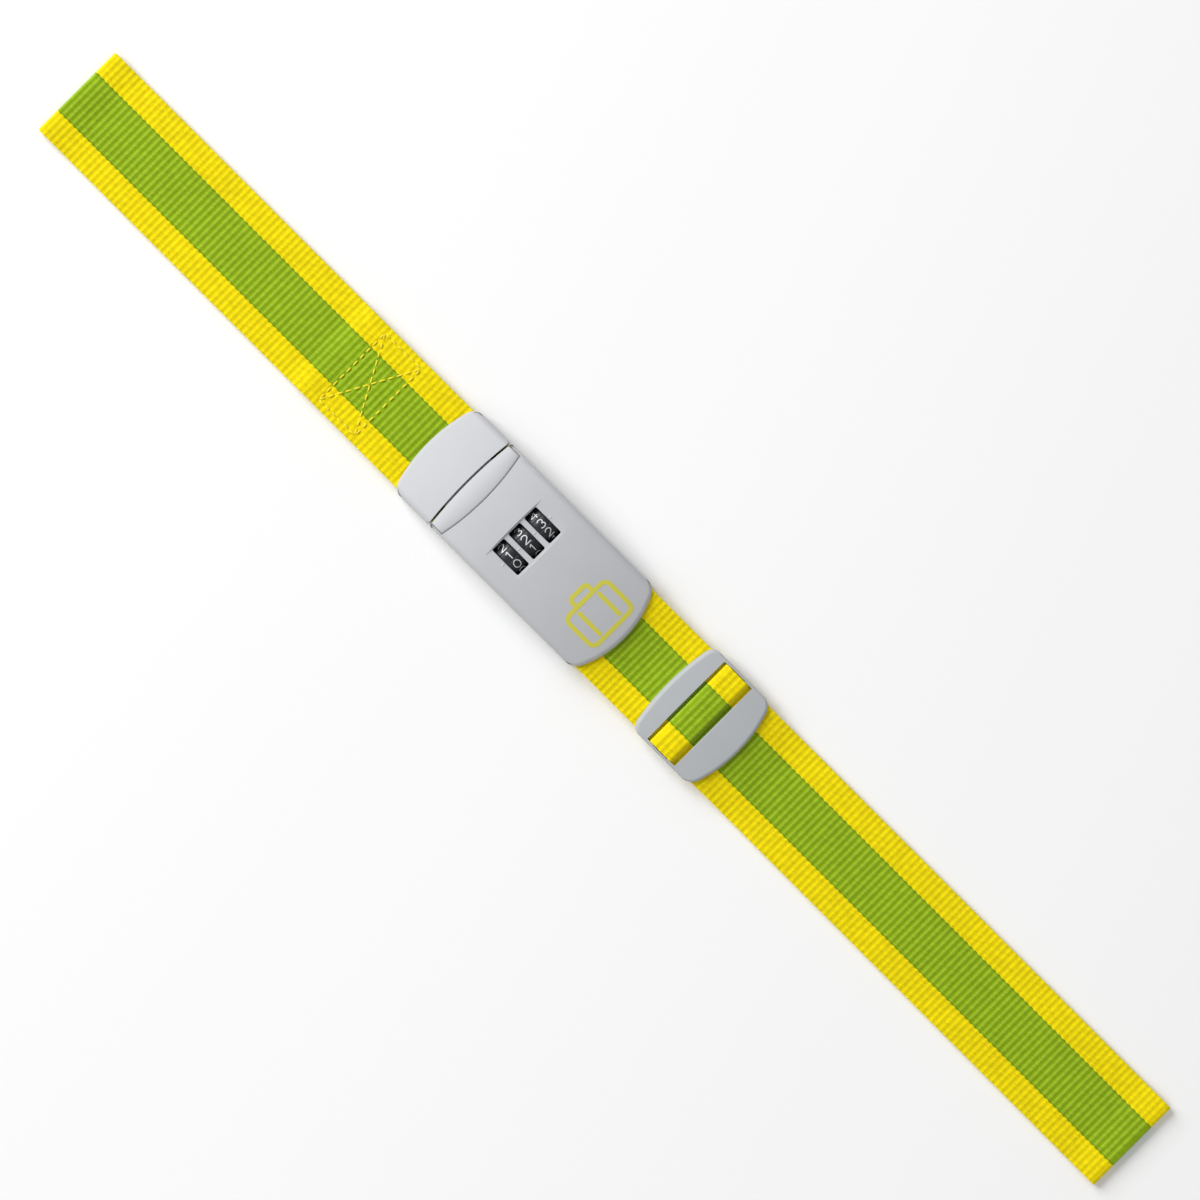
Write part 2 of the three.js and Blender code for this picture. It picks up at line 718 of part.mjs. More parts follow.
/** The leaf that clicks into the wheels: three fingers on one foot. */
function detentSpring() {
  const x0 = DIAL_X + DIAL_RADIUS + 1.4;
  const low = BASE_TOP + GAP;
  const foot = box(x0, DETENT_WALL.x0 - GAP, -13.5, 13.5, low, low + DETENT_THICK);
  const fingers = [-1, 0, 1].flatMap((place) => {
    const y = place * DIAL_PITCH;
    return [
      box(x0, x0 + DETENT_THICK, y - 3, y + 3, low, DIAL_Z + 1),
      box(x0 - 1, x0 + 0.3, y - 1.5, y + 1.5, DIAL_Z - 0.8, DIAL_Z + 0.8),
    ];
  });
  return joined(foot, ...fingers);
}

/** A screw from below: a recessed round head and a shank. */
function screw(x, y, top) {
  const low = BODY_BOTTOM + SCREW.recess - SCREW.headHeight - 0.2;
  const points = [
    [0, 0],
    [SCREW.head * 0.8, 0],
    [SCREW.head, SCREW.headHeight * 0.4],
    [SCREW.head, SCREW.headHeight],
    [SCREW.shank, SCREW.headHeight],
    [SCREW.shank, top - low - 0.8],
    [0, top - low],
  ].map(([radius, along]) => new THREE.Vector2(radius, along));
  const turned = new THREE.LatheGeometry(points, 12).rotateX(Math.PI / 2);
  const socket = box(x - 1.2, x + 1.2, y - 0.25, y + 0.25, 0, low + 0.6);
  return without(solid(turned.translate(x, y, low)), socket);
}

// ---- tongue --------------------------------------------------------------------------------------

/** The tongue's top shell, open below and at its webbing end. */
function tongueCover() {
  const inner = BODY_HALF_WIDTH - WALL;
  const shell = crownedBlock({
    left: roundedLeft(TONGUE_END, CORNER_RADIUS),
    right: (y) => arcLeft(TONGUE_FRONT)(y) - cornerCut(y, BODY_HALF_WIDTH, JOINT_CORNER_RADIUS),
    halfWidth: BODY_HALF_WIDTH,
    bottom: BODY_BOTTOM,
    top: crown,
    edge: EDGE_RADIUS / 2,
    nx: 14,
    ny: 12,
  });
  const room = hollow(() => TONGUE_END.x - 5, arcLeft(TONGUE_FRONT, -WALL), 8);
  const bladeSlot = box(
    TONGUE_FRONT.x - 4,
    TONGUE_FRONT.x + 3,
    -BLADE_HALF_WIDTH - GAP,
    BLADE_HALF_WIDTH + GAP,
    BLADE_Z - GAP,
    BLADE_Z + BLADE_THICK + GAP,
  );
  const carved = without(shell, room, bladeSlot, barHole(TONGUE_BAR));
  return joined(carved, ...bosses(TONGUE_SCREWS, BLADE_Z));
}

/** The block under the blade, with the two pegs that hold it. */
function tongueBase() {
  const half = BODY_HALF_WIDTH - WALL - GAP;
  const block = crownedBlock({
    left: () => BLADE_BACK_X,
    right: arcLeft(TONGUE_FRONT, -WALL - GAP),
    halfWidth: half,
    bottom: BODY_BOTTOM,
    top: () => BLADE_Z - GAP,
    nx: 1,
    ny: 8,
  });
  const pegs = [-1, 1].map((side) => postZ(-96, side * 8, 1.6, BLADE_Z - 1, BLADE_Z + BLADE_THICK + 0.8, 16));
  const holes = TONGUE_SCREWS.map(([x, y]) => screwHole(x, y));
  return without(joined(block, ...pegs), ...holes);
}

/** The steel blade that goes into the lock, with the window for the latch's hook. */
function tongueBlade() {
  const half = BLADE_HALF_WIDTH;
  const outline = new THREE.Shape();
  outline.moveTo(BLADE_BACK_X, -half);
  outline.lineTo(BLADE_TIP_X - 4, -half);
  outline.lineTo(BLADE_TIP_X, -half + 4);
  outline.lineTo(BLADE_TIP_X, half - 4);
  outline.lineTo(BLADE_TIP_X - 4, half);
  outline.lineTo(BLADE_BACK_X, half);
  const plate = new THREE.ExtrudeGeometry(outline, { depth: BLADE_THICK, bevelEnabled: false });
  const window = box(BLADE_WINDOW.x0, BLADE_WINDOW.x1, -BLADE_WINDOW.y, BLADE_WINDOW.y, 0, 20);
  const pegHoles = [-1, 1].map((side) => postZ(-96, side * 8, 1.6 + GAP, 0, 20, 16));
  return without(solid(plate.translate(0, 0, BLADE_Z)), window, ...pegHoles);
}

// ---- slider --------------------------------------------------------------------------------------

/** Outline of the slider seen from above, drawn in by an inset. */
function sliderOutline(inset) {
  const half = BODY_HALF_WIDTH - inset;
  const left = [];
  const right = [];
  for (let i = 0; i <= 16; i++) {
    const y = half * Math.sin((Math.PI * (i / 16 - 0.5)));
    const corner = cornerCut(y, half, CORNER_RADIUS - inset);
    left.unshift(new THREE.Vector2(arcLeft(SLIDER_START, inset)(y) + corner, y));
    right.push(new THREE.Vector2(arcRight(SLIDER_END, inset)(y) - corner, y));
  }
  return new THREE.Shape([...right, ...left]);
}

/** The three-bar slider: two lens-shaped bars, a lower middle bar and the side rails. */
function sliderFrame() {
  const inner = BODY_HALF_WIDTH - WALL;
  const plate = new THREE.ExtrudeGeometry(sliderOutline(SLIDER_BEVEL), {
    depth: SLIDER_HIGH - SLIDER_LOW - 2 * SLIDER_BEVEL,
    bevelSize: SLIDER_BEVEL,
    bevelThickness: SLIDER_BEVEL,
    bevelSegments: 2,
    steps: 1,
  });
  const raised = solid(plate.translate(0, 0, SLIDER_LOW + SLIDER_BEVEL));
  const slot = box(LEFT_BAR_EDGE, RIGHT_BAR_EDGE, -inner, inner, 0, SLIDER_HIGH + 1);
  const rails = [-1, 1].map((side) => {
    const y0 = side > 0 ? inner : -BODY_HALF_WIDTH;
    return box(LEFT_BAR_EDGE - 4, RIGHT_BAR_EDGE + 4, y0, y0 + WALL, SLIDER_RAIL_LOW, SLIDER_LOW + 1);
  });
  const middle = box(CENTRE_BAR.x0, CENTRE_BAR.x1, -inner - 0.2, inner + 0.2, CENTRE_BAR.z0, CENTRE_BAR.z1);
  return joined(without(raised, slot), ...rails, middle);
}

// ---- assembly ------------------------------------------------------------------------------------

const finish = (color, roughness, metalness = 0) => ({ color, roughness, metalness });
const SILVER = finish(0xd4d6d8, 0.45);
const GREY = finish(0xb0b4b6, 0.6);
const BLACK = finish(0x15171a, 0.5);
const STEEL = finish(0xa8abb0, 0.35, 1);
const WEBBING = finish(0x9cc02a, 0.85);
const DARK = finish(0x5a5d60, 0.6);

const strap = new THREE.Group();

function add(name, body, look) {
  const mesh = new THREE.Mesh(surface(body), new THREE.MeshStandardMaterial(look));
  mesh.name = name;
  strap.add(mesh);
}

add("lock_cover", lockCover(), SILVER);
add("lock_base", lockBase(), GREY);
add("release_button", releaseButton(), SILVER);
add("latch_spring", latchSpring(), STEEL);
add("button_spring_left", buttonSpring(-1), STEEL);
add("button_spring_right", buttonSpring(1), STEEL);
[-1, 0, 1].forEach((place, i) => {
  add(`dial_${i + 1}`, dial(place * DIAL_PITCH), BLACK);
  add(`dial_sleeve_${i + 1}`, dialSleeve(place * DIAL_PITCH), DARK);
});
add("dial_shaft", barY(DIAL_X, DIAL_Z, SHAFT_RADIUS, -SHAFT_HALF_LENGTH, SHAFT_HALF_LENGTH), STEEL);
add("detent_spring", detentSpring(), STEEL);
add("lock_webbing_bar", webbingBar(LOCK_BAR), STEEL);
LOCK_SCREWS.forEach(([x, y], i) => add(`lock_screw_${i + 1}`, screw(x, y, 12), STEEL));

add("tongue_cover", tongueCover(), SILVER);
add("tongue_base", tongueBase(), GREY);
add("tongue_blade", tongueBlade(), STEEL);
add("tongue_webbing_bar", webbingBar(TONGUE_BAR), STEEL);
TONGUE_SCREWS.forEach(([x, y], i) => add(`tongue_screw_${i + 1}`, screw(x, y, 9.5), STEEL));

add("slider_frame", sliderFrame(), GREY);

add("webbing_floor", webbingFloor(), WEBBING);
add("webbing_left_fold", webbingFold(-1), WEBBING);
add("webbing_right_fold", webbingFold(1), WEBBING);
add("webbing_left_run", webbingLeftRun(), WEBBING);
add("webbing_tongue_loop", webbingTongueLoop(), WEBBING);
add("webbing_right_run", webbingRightRun(), WEBBING);
add("webbing_slider_hump", webbingSliderHump(), WEBBING);
add("webbing_slider_run", webbingSliderRun(), WEBBING);
add("webbing_lock_loop", webbingLockLoop(), WEBBING);
add("webbing_return_run", webbingReturnRun(), WEBBING);
add("webbing_slider_loop", webbingSliderLoop(), WEBBING);

export default strap;
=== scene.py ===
"""The finished looks of a webbing luggage strap with a combination lock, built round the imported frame."""

import json
import math

import bmesh
import bpy
import numpy as np
from mathutils import Matrix, Vector


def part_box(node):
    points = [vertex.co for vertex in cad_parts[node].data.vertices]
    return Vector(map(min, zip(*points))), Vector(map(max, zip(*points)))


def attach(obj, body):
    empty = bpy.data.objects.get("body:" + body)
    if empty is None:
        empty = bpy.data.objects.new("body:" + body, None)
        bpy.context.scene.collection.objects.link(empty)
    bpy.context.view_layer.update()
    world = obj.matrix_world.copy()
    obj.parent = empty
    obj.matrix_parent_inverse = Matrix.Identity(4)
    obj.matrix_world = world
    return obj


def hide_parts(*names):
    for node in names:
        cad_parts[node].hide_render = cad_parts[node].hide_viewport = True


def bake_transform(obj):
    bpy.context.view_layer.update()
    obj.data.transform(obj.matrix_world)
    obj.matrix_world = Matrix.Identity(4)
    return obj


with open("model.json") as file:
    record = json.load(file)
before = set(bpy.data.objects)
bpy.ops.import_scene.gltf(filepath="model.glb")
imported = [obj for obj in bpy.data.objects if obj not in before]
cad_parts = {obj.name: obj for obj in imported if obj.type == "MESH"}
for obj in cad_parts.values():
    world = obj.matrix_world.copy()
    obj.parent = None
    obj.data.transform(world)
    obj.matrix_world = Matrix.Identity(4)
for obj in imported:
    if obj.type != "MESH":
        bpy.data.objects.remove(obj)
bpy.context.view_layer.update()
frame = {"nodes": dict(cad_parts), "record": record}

MM = 0.001


def box_mm(node):
    """Lowest and highest corner of a CAD node in millimetres."""
    low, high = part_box(node)
    return np.array(low) / MM, np.array(high) / MM


# ---- dimensions in millimetres ----

# Lowest and highest corners of CAD nodes
COVER_LOW, COVER_HIGH = box_mm("lock_cover")
SLIDER_LOW, SLIDER_HIGH = box_mm("slider_frame")
DIAL_LOW, DIAL_HIGH = box_mm("dial_2")
BLADE_LOW, BLADE_HIGH = box_mm("tongue_blade")
LOCK_BAR = box_mm("lock_webbing_bar")
TONGUE_BAR = box_mm("tongue_webbing_bar")

# Layers of webbing, and the folds at both ends of the strap
WEB_HALF = box_mm("webbing_floor")[1][1]
WEB_THICK = 1.3
GAP = 0.3
LAYER = WEB_THICK + GAP
FLOOR_MID = WEB_THICK / 2
SECOND_MID = FLOOR_MID + LAYER
THIRD_MID = SECOND_MID + LAYER
FOURTH_MID = THIRD_MID + LAYER
FOLD_RADIUS = 1.5
FOLD_X = box_mm("webbing_right_fold")[1][0] - FOLD_RADIUS - WEB_THICK / 2
FOLD_END_X = GAP - box_mm("webbing_left_run")[0][0]

# Outer shape of the lock and tongue. A curved end is (X at its middle, radius seen from above).
BODY_HALF = COVER_HIGH[1]
BODY_BOTTOM = COVER_LOW[2]
WALL = 1.2
INNER_HALF = BODY_HALF - WALL
SKIN = 1.5
PEAK_X = -53
PEAK_Z = 20.4
FRONT_FALL = 0.0034
TAIL_FALL = 0.0021
CROSS_FALL = 0.0033
CORNER = 4.5
JOINT_CORNER = 1.2
TONGUE_END = (-114.2, 84)
TONGUE_FRONT = (-89.0, 235)
LOCK_FRONT = (-88.0, 235)
LOCK_END = (12.9, 53)
MOUTH_RISE = 5.8  # of the opening for the webbing, above the bottom of its bar

# Screw bosses under the skin
BOSS_RADIUS = 2.6
BOSS_BORE = 1.4
LOCK_BOSS_LOW = 4.9
TONGUE_BOSS_LOW = 7.2

# Release button
BUTTON_BACK = (-77.0, 121)
BUTTON_BULGE = 0.6
BUTTON_SEAM = 0.16
BUTTON_BOTTOM = 13.2
BED_BOTTOM = 11.4
LEG_LOW = box_mm("release_button")[0][2]
LEG_X = (-84, -81)
LEG_Y = (17, 19.5)
LIP_X = (-81, -75.2)
LIP_HALF = 15
LIP_TOP = 15.6

# The latch is cut across at even steps from the first of these X to the second
LATCH_BEND = (-79.5, -67.0)

# Dials, their windows and the channel round them
DIAL_X = (DIAL_LOW[0] + DIAL_HIGH[0]) / 2
DIAL_Z = (DIAL_LOW[2] + DIAL_HIGH[2]) / 2
DIAL_RADIUS = (DIAL_HIGH[2] - DIAL_LOW[2]) / 2
DIAL_WIDTH = DIAL_HIGH[1] - DIAL_LOW[1]
DIAL_BORE = 4.3
DIAL_PITCH = 10.25
WINDOW = (16.5, 7.45)
CHANNEL = (-58.8, -41.0, 19.2)
DIAL_GROOVE = (0.2, 1.6)  # depth, and reach in degrees, between each two numbers
DIGIT_STEP = 36
SHOWN_DIGITS = (1, 2, 3)  # at the index marks, from dial 1 to dial 3
DIGIT_TURN = 6.7  # degrees the shown numbers sit past the top, towards -X
DIGIT_SIZE = (4.0, 4.6)  # height round the wheel, and width for a number box 1 wide
DIGIT_STROKE = 0.46

# Print on the lock's tail
PRINT_WIDTH = 2.1
PRINT_X = (-12.5, 6.0)
PRINT_HALF = 13.0
PRINT_CORNER = 3.2
PRINT_STRAP_Y = 6.4
HANDLE_HALF = 5.2
HANDLE_REACH = 4.8
HANDLE_CORNER = 1.6

# Slider
SLIDER_START = (41.3, 126)
SLIDER_END = (86.4, 69)
LEFT_BAR_EDGE = 52.6
RIGHT_BAR_EDGE = 70.3
BAR_LOW = 6.4
BAR_HIGH = SLIDER_HIGH[2]
SLIDER_MIDDLE = 62
SLIDER_FALL = (0.0018, 0.0006)  # of its crowned top, along X and across
RAIL_REACH = 4
CENTRE_BAR = (56.7, 65.8, 4.4, 6.8)

# Ribs and stripes of the webbing
RIB_PITCH = 3.0
RIB_DEPTH = 0.24
YARN_PITCH = 0.9
STRIPE_HALF = 12.5
SAMPLES_PER_RIB = 8
EDGE_ROUND = 0.62

# Places along the webbing's route
TAIL_END_X = -168
TONGUE_STEP = (-182, -171)
TONGUE_RISE_X = -113
SLIDER_TAIL_X = 22
SLIDER_RUN_END_X = 34
RIGHT_RUN_X = 78
RIGHT_LEVEL_X = 108
RETURN_LEVEL_X = 16
HUMP_CORNERS = (0.9, 2.8)  # radii of the low and high bends over the slider's middle bar
LOOP_CORNER = 1.2

# Sewing
STITCH_PITCH = 4.1
STITCH_LENGTH = 3.0
THREAD_RADIUS = 0.4
SEAM_X = (-163.5, -140.2)
SEAM_HALF = 21.5
SEAM_WIDTH = 0.9
SEAM_DEPTH = 0.3

# Studio, in metres and watts
FLOOR_HALF = 4.0
SKY_STRENGTH = 0.36
KEY_LIGHT = ((-3.2, 0.0, 2.16), 2.7, 177)  # place, size and power
FILL_LIGHT = ((0.7, -0.9, 1.8), 1.6, 8)
LENS = 180.0
SENSOR = 36.0
VIEW_WIDTH = 0.5505
VIEW_MIDDLE = (-0.00206, 0.0086)  # along the view's right and up; the strap lies a little off its middle


# ---- meshes ----


def new_object(name, vertices, faces):
    """A smooth-shaded mesh object from points in millimetres."""
    mesh = bpy.data.meshes.new(name)
    mesh.from_pydata((np.asarray(vertices, float) * MM).tolist(), [], faces)
    mesh.update()
    obj = bpy.data.objects.new(name, mesh)
    bpy.context.scene.collection.objects.link(obj)
    return obj


def smooth(obj, degrees=34):
    """Smooth shading with edges sharper than an angle left crisp."""
    obj.data.polygons.foreach_set("use_smooth", [True] * len(obj.data.polygons))
    obj.data.set_sharp_from_angle(angle=math.radians(degrees))
    return obj


def combine(obj, others, operation):
    """Joins or cuts obj with other closed meshes, which are used up."""
    for other in others:
        step = obj.modifiers.new("combine", "BOOLEAN")
        step.operation = operation
        step.solver = "MANIFOLD"
        step.object = other
    graph = bpy.context.evaluated_depsgraph_get()
    made = bpy.data.meshes.new_from_object(obj.evaluated_get(graph))
    obj.modifiers.clear()
    obj.data = made
    for other in others:
        bpy.data.objects.remove(other)
    return obj


def tube_faces(base, rings, sides):
    """Faces of a closed tube through rings of points, the first of which is vertex number base."""
    faces = [[base + s for s in range(sides)][::-1]]
    for r in range(rings - 1):
        a = base + r * sides
        for s in range(sides):
            n = (s + 1) % sides
            faces.append([a + s, a + n, a + sides + n, a + sides + s])
    faces.append([base + (rings - 1) * sides + s for s in range(sides)])
    return faces


def loft(name, rings):
    """A closed mesh through rings of points, capped at both ends."""
    return new_object(name, [p for ring in rings for p in ring], tube_faces(0, len(rings), len(rings[0])))


def rounded_rectangle(cx, cy, half_x, half_y, radius, z, steps=6):
    """Points round a rectangle with rounded corners, anticlockwise."""
    points = []
    for k, (sx, sy) in enumerate([(1, 1), (-1, 1), (-1, -1), (1, -1)]):
        for i in range(steps + 1):
            angle = math.radians(90 * (k + i / steps))
            x = cx + sx * (half_x - radius) + radius * math.cos(angle)
            y = cy + sy * (half_y - radius) + radius * math.sin(angle)
            points.append((x, y, z))
    return points


def block(name, x0, x1, y0, y1, z0, z1, radius=0.3):
    """A box with rounded upright edges."""
    args = ((x0 + x1) / 2, (y0 + y1) / 2, (x1 - x0) / 2, (y1 - y0) / 2, radius)
    return loft(name, [rounded_rectangle(*args, z0), rounded_rectangle(*args, z1)])


def bar_y(name, x, z, radius, y0, y1, sides=48):
    """A round bar along Y."""
    angles = np.linspace(0, 2 * np.pi, sides, endpoint=False)
    ring = [(x + radius * math.cos(a), z + radius * math.sin(a)) for a in angles]
    return loft(name, [[(px, y1, pz) for px, pz in ring], [(px, y0, pz) for px, pz in ring]])


# ---- crowned shells ----


def sag(y, radius):
    """How far an arc falls back from its middle."""
    return radius - np.sqrt(radius * radius - y * y)


def crown(x, y):
    """Height of the crowned top of the lock and tongue."""
    fall = np.where(x < PEAK_X, FRONT_FALL, TAIL_FALL)
    return PEAK_Z - fall * (x - PEAK_X) ** 2 - CROSS_FALL * y * y


def corner_cut(y, half, radius):
    past = np.clip(np.abs(y) - (half - radius), 0, radius)
    return radius - np.sqrt(radius * radius - past * past)


def edge_drop(near_left, near_right, near_side, radii):
    """How far the rounded rim lies below the top; radii are for the left, right and side edges."""
    left, right, side = radii
    a = np.clip(1 - near_left / left, 0, 1)
    b = np.clip(1 - near_right / right, 0, 1)
    c = np.clip(1 - near_side / side, 0, 1)
    size = np.where(a > b, left, right)
    size = np.where(np.maximum(a, b) < c, side, size)
    reach = np.clip(np.hypot(np.maximum(a, b), c), 0, 1)
    return size * (1 - np.sqrt(1 - reach * reach))


def left_arc(end, inset=0.0, corner=0.0):
    """X of a piece's curved left end at each y."""
    return lambda y: end[0] + inset + sag(y, end[1]) + corner_cut(y, BODY_HALF, corner)


def right_arc(end, inset=0.0, corner=0.0):
    return lambda y: end[0] - inset - sag(y, end[1]) - corner_cut(y, BODY_HALF, corner)


def crowned_block(name, left, right, half, bottom, top, radii=None, nx=40, ny=30):
    """A closed block with curved ends seen from above, a curved top and a flat bottom."""
    u = (1 - np.cos(np.linspace(0, np.pi, nx))) / 2
    v = np.sin(np.linspace(-np.pi / 2, np.pi / 2, ny)) * half
    y, share = np.meshgrid(v, u)
    x0 = left(y) * np.ones_like(y)
    x1 = right(y) * np.ones_like(y)
    x = x0 + share * (x1 - x0)
    z = top(x, y) * np.ones_like(y)
    if radii:
        z = z - edge_drop(x - x0, x1 - x, half - np.abs(y), radii)
    vertices = np.stack([x, y, z], axis=-1).reshape(-1, 3)
    index = np.arange(nx * ny).reshape(nx, ny)
    faces = []
    for i in range(nx - 1):
        for j in range(ny - 1):
            faces.append([index[i, j], index[i + 1, j], index[i + 1, j + 1], index[i, j + 1]])
    rim = [*index[:, 0], *index[-1, 1:], *index[-2::-1, -1], *index[0, -2:0:-1]]
    low = len(vertices) + np.arange(len(rim))
    foot = vertices[rim].copy()
    foot[:, 2] = bottom
    for i in range(len(rim)):
        j = (i + 1) % len(rim)
        faces.append([rim[i], low[i], low[j], rim[j]])
    faces.append(low[::-1].tolist())
    faces = [[int(k) for k in face] for face in faces]
    return new_object(name, np.vstack([vertices, foot]), faces)


def hollow(left, right):
    """The room under a crowned skin, open downwards."""
    skin = lambda x, y: crown(x, y) - SKIN
    return crowned_block("room", left, right, INNER_HALF, BODY_BOTTOM - 1, skin, nx=50, ny=24)


def flared_cutter(name, place, half, corner, rim, low, mouth, high):
    """Cuts a rounded rectangular opening whose edge is rounded outwards up to the mouth's height."""
    rings = [rounded_rectangle(*place, *half, corner, low)]
    for i in range(7):
        angle = math.radians(15 * i)
        out = rim * (1 - math.cos(angle))
        z = mouth - rim + rim * math.sin(angle)
        rings.append(rounded_rectangle(*place, half[0] + out, half[1] + out, corner + out, z))
    rings.append(rounded_rectangle(*place, half[0] + rim, half[1] + rim, corner + rim, high))
    return loft(name, rings)


def window_cutter(y):
    """Cuts one dial window through the channel's floor."""
    half = (WINDOW[0] / 2, WINDOW[1] / 2)
    return flared_cutter("window", (DIAL_X, y), half, 0.7, 0.4, DIAL_Z, CHANNEL[2], PEAK_Z + 1)


def channel_cutter():
    """Cuts the flat finger channel across the crown, with sloping walls."""
    middle = (CHANNEL[0] + CHANNEL[1]) / 2
    half = (CHANNEL[1] - CHANNEL[0]) / 2
    rings = []
    for z, out in ((CHANNEL[2], 0.0), (CHANNEL[2] + 0.15, 0.04), (CHANNEL[2] + 2, 0.9)):
        rings.append(rounded_rectangle(middle, 0, half + out, INNER_HALF, 0.5, z))
    return loft("channel", rings)


def blade_slot(x):
    """The slot in a front wall that the steel blade passes through."""
    y0, z0 = BLADE_LOW[1:] - GAP
    y1, z1 = BLADE_HIGH[1:] + GAP
    return block("slot", x - 3, x + 4, y0, y1, z0, z1)


def upright(name, x, y, radius, z0, z1):
    """A round post."""
    angles = np.linspace(0, 2 * np.pi, 24, endpoint=False)
    ring = [(x + radius * math.cos(a), y + radius * math.sin(a)) for a in angles]
    return loft(name, [[(px, py, z) for px, py in ring] for z in (z0, z1)])


def bosses(node_prefix, bottom):
    """Bosses that hang from the skin round each screw."""
    made = []
    for name in sorted(frame["nodes"]):
        if name.startswith(node_prefix):
            low, high = box_mm(name)
            x, y = (low[0] + high[0]) / 2, (low[1] + high[1]) / 2
            boss = upright("boss", x, y, BOSS_RADIUS, bottom, float(crown(np.array(x), y)) - SKIN / 2)
            bore = upright("bore", x, y, BOSS_BORE, bottom - 1, high[2] + 0.3)
            made.append(combine(boss, [bore], "DIFFERENCE"))
    return made


def bar_hole(bar):
    """Cuts the hole for a steel pin given by its box."""
    low, high = bar
    x, z = (low[0] + high[0]) / 2, (low[2] + high[2]) / 2
    return bar_y("bar_hole", x, z, (high[0] - low[0]) / 2 + 0.2, low[1] - 0.2, high[1] + 0.2)


def lock_cover():
    shell = crowned_block(
        "lock_shell",
        left_arc(LOCK_FRONT, corner=JOINT_CORNER),
        right_arc(LOCK_END, corner=CORNER),
        BODY_HALF,
        BODY_BOTTOM,
        crown,
        radii=(0.25, 2.2, 3.2),
        nx=190,
        ny=110,
    )
    bed_left = lambda y: LOCK_FRONT[0] - 5
    bed_top = lambda x, y: PEAK_Z + 2
    mouth_top = LOCK_BAR[0][2] + MOUTH_RISE
    cutters = [
        hollow(left_arc(LOCK_FRONT, WALL), lambda y: LOCK_END[0] + 10),
        crowned_block("bed", bed_left, right_arc(BUTTON_BACK), INNER_HALF, BED_BOTTOM, bed_top),
        block("mouth", 0, LOCK_END[0] + 5, -INNER_HALF, INNER_HALF, 0, mouth_top),
        channel_cutter(),
        blade_slot(LOCK_FRONT[0]),
        bar_hole(LOCK_BAR),
        *[window_cutter(i * DIAL_PITCH) for i in (-1, 0, 1)],
    ]
    combine(shell, cutters, "DIFFERENCE")
    combine(shell, bosses("lock_screw", LOCK_BOSS_LOW), "UNION")
    return smooth(shell)


def release_button():
    """The lens-shaped push button with its legs and lip."""
    back, front = right_arc(BUTTON_BACK, BUTTON_SEAM), left_arc(LOCK_FRONT)

    def top(x, y):
        t = (x - front(y)) / (back(y) - front(y))
        return crown(x, y) + BUTTON_BULGE * 4 * t * (1 - t)

    cap = crowned_block(
        "button_cap",
        front,
        back,
        INNER_HALF - GAP,
        BUTTON_BOTTOM,
        top,
        radii=(0.25, 0.9, 0.9),
        nx=60,
        ny=110,
    )
    below = [block("lip", *LIP_X, -LIP_HALF, LIP_HALF, BUTTON_BOTTOM, LIP_TOP)]
    for side in (-1, 1):
        y0, y1 = sorted(side * y for y in LEG_Y)
        below.append(block("leg", *LEG_X, y0, y1, LEG_LOW, BUTTON_BOTTOM + 0.5))
    return smooth(combine(cap, below, "UNION"))


def tongue_cover():
    shell = crowned_block(
        "tongue_shell",
        left_arc(TONGUE_END, corner=CORNER),
        tongue_front,
        BODY_HALF,
        BODY_BOTTOM,
        crown,
        radii=(1.4, 0.25, 3.2),
        nx=90,
        ny=110,
    )
    cutters = [
        hollow(lambda y: TONGUE_END[0] - 5, left_arc(TONGUE_FRONT, -WALL)),
        blade_slot(TONGUE_FRONT[0] - 1),
        bar_hole(TONGUE_BAR),
    ]
    combine(shell, cutters, "DIFFERENCE")
    combine(shell, bosses("tongue_screw", TONGUE_BOSS_LOW), "UNION")
    return smooth(shell)


def tongue_front(y):
    return TONGUE_FRONT[0] + sag(y, TONGUE_FRONT[1]) - corner_cut(y, BODY_HALF, JOINT_CORNER)


def slider_slot():
    """Cuts the slot between the slider's two outer bars, with a small rounded rim."""
    place = ((LEFT_BAR_EDGE + RIGHT_BAR_EDGE) / 2, 0)
    half = ((RIGHT_BAR_EDGE - LEFT_BAR_EDGE) / 2, INNER_HALF)
    return flared_cutter("slot", place, half, 0.8, 0.35, 0, BAR_HIGH - 0.2, BAR_HIGH + 1)


def slider():
    """The three-bar slider: a lens-shaped frame with one slot, lower side rails and a low middle bar."""
    shell = crowned_block(
        "slider_bars",
        left_arc(SLIDER_START, corner=CORNER),
        right_arc(SLIDER_END, corner=CORNER),
        BODY_HALF,
        BAR_LOW,
        lambda x, y: BAR_HIGH - SLIDER_FALL[0] * (x - SLIDER_MIDDLE) ** 2 - SLIDER_FALL[1] * y * y,
        radii=(2.3, 1.6, 1.2),
        nx=130,
        ny=90,
    )
    combine(shell, [slider_slot()], "DIFFERENCE")
    rail_x = (LEFT_BAR_EDGE - RAIL_REACH, RIGHT_BAR_EDGE + RAIL_REACH)
    below = []
    for side in (-1, 1):
        y0, y1 = sorted((side * INNER_HALF, side * BODY_HALF))
        below.append(block("rail", *rail_x, y0, y1, SLIDER_LOW[2], BAR_LOW + 0.5))
    x0, x1, z0, z1 = CENTRE_BAR
    below.append(block("middle", x0, x1, -INNER_HALF - 0.2, INNER_HALF + 0.2, z0, z1))
    return smooth(combine(shell, below, "UNION"))


# ---- dials ----


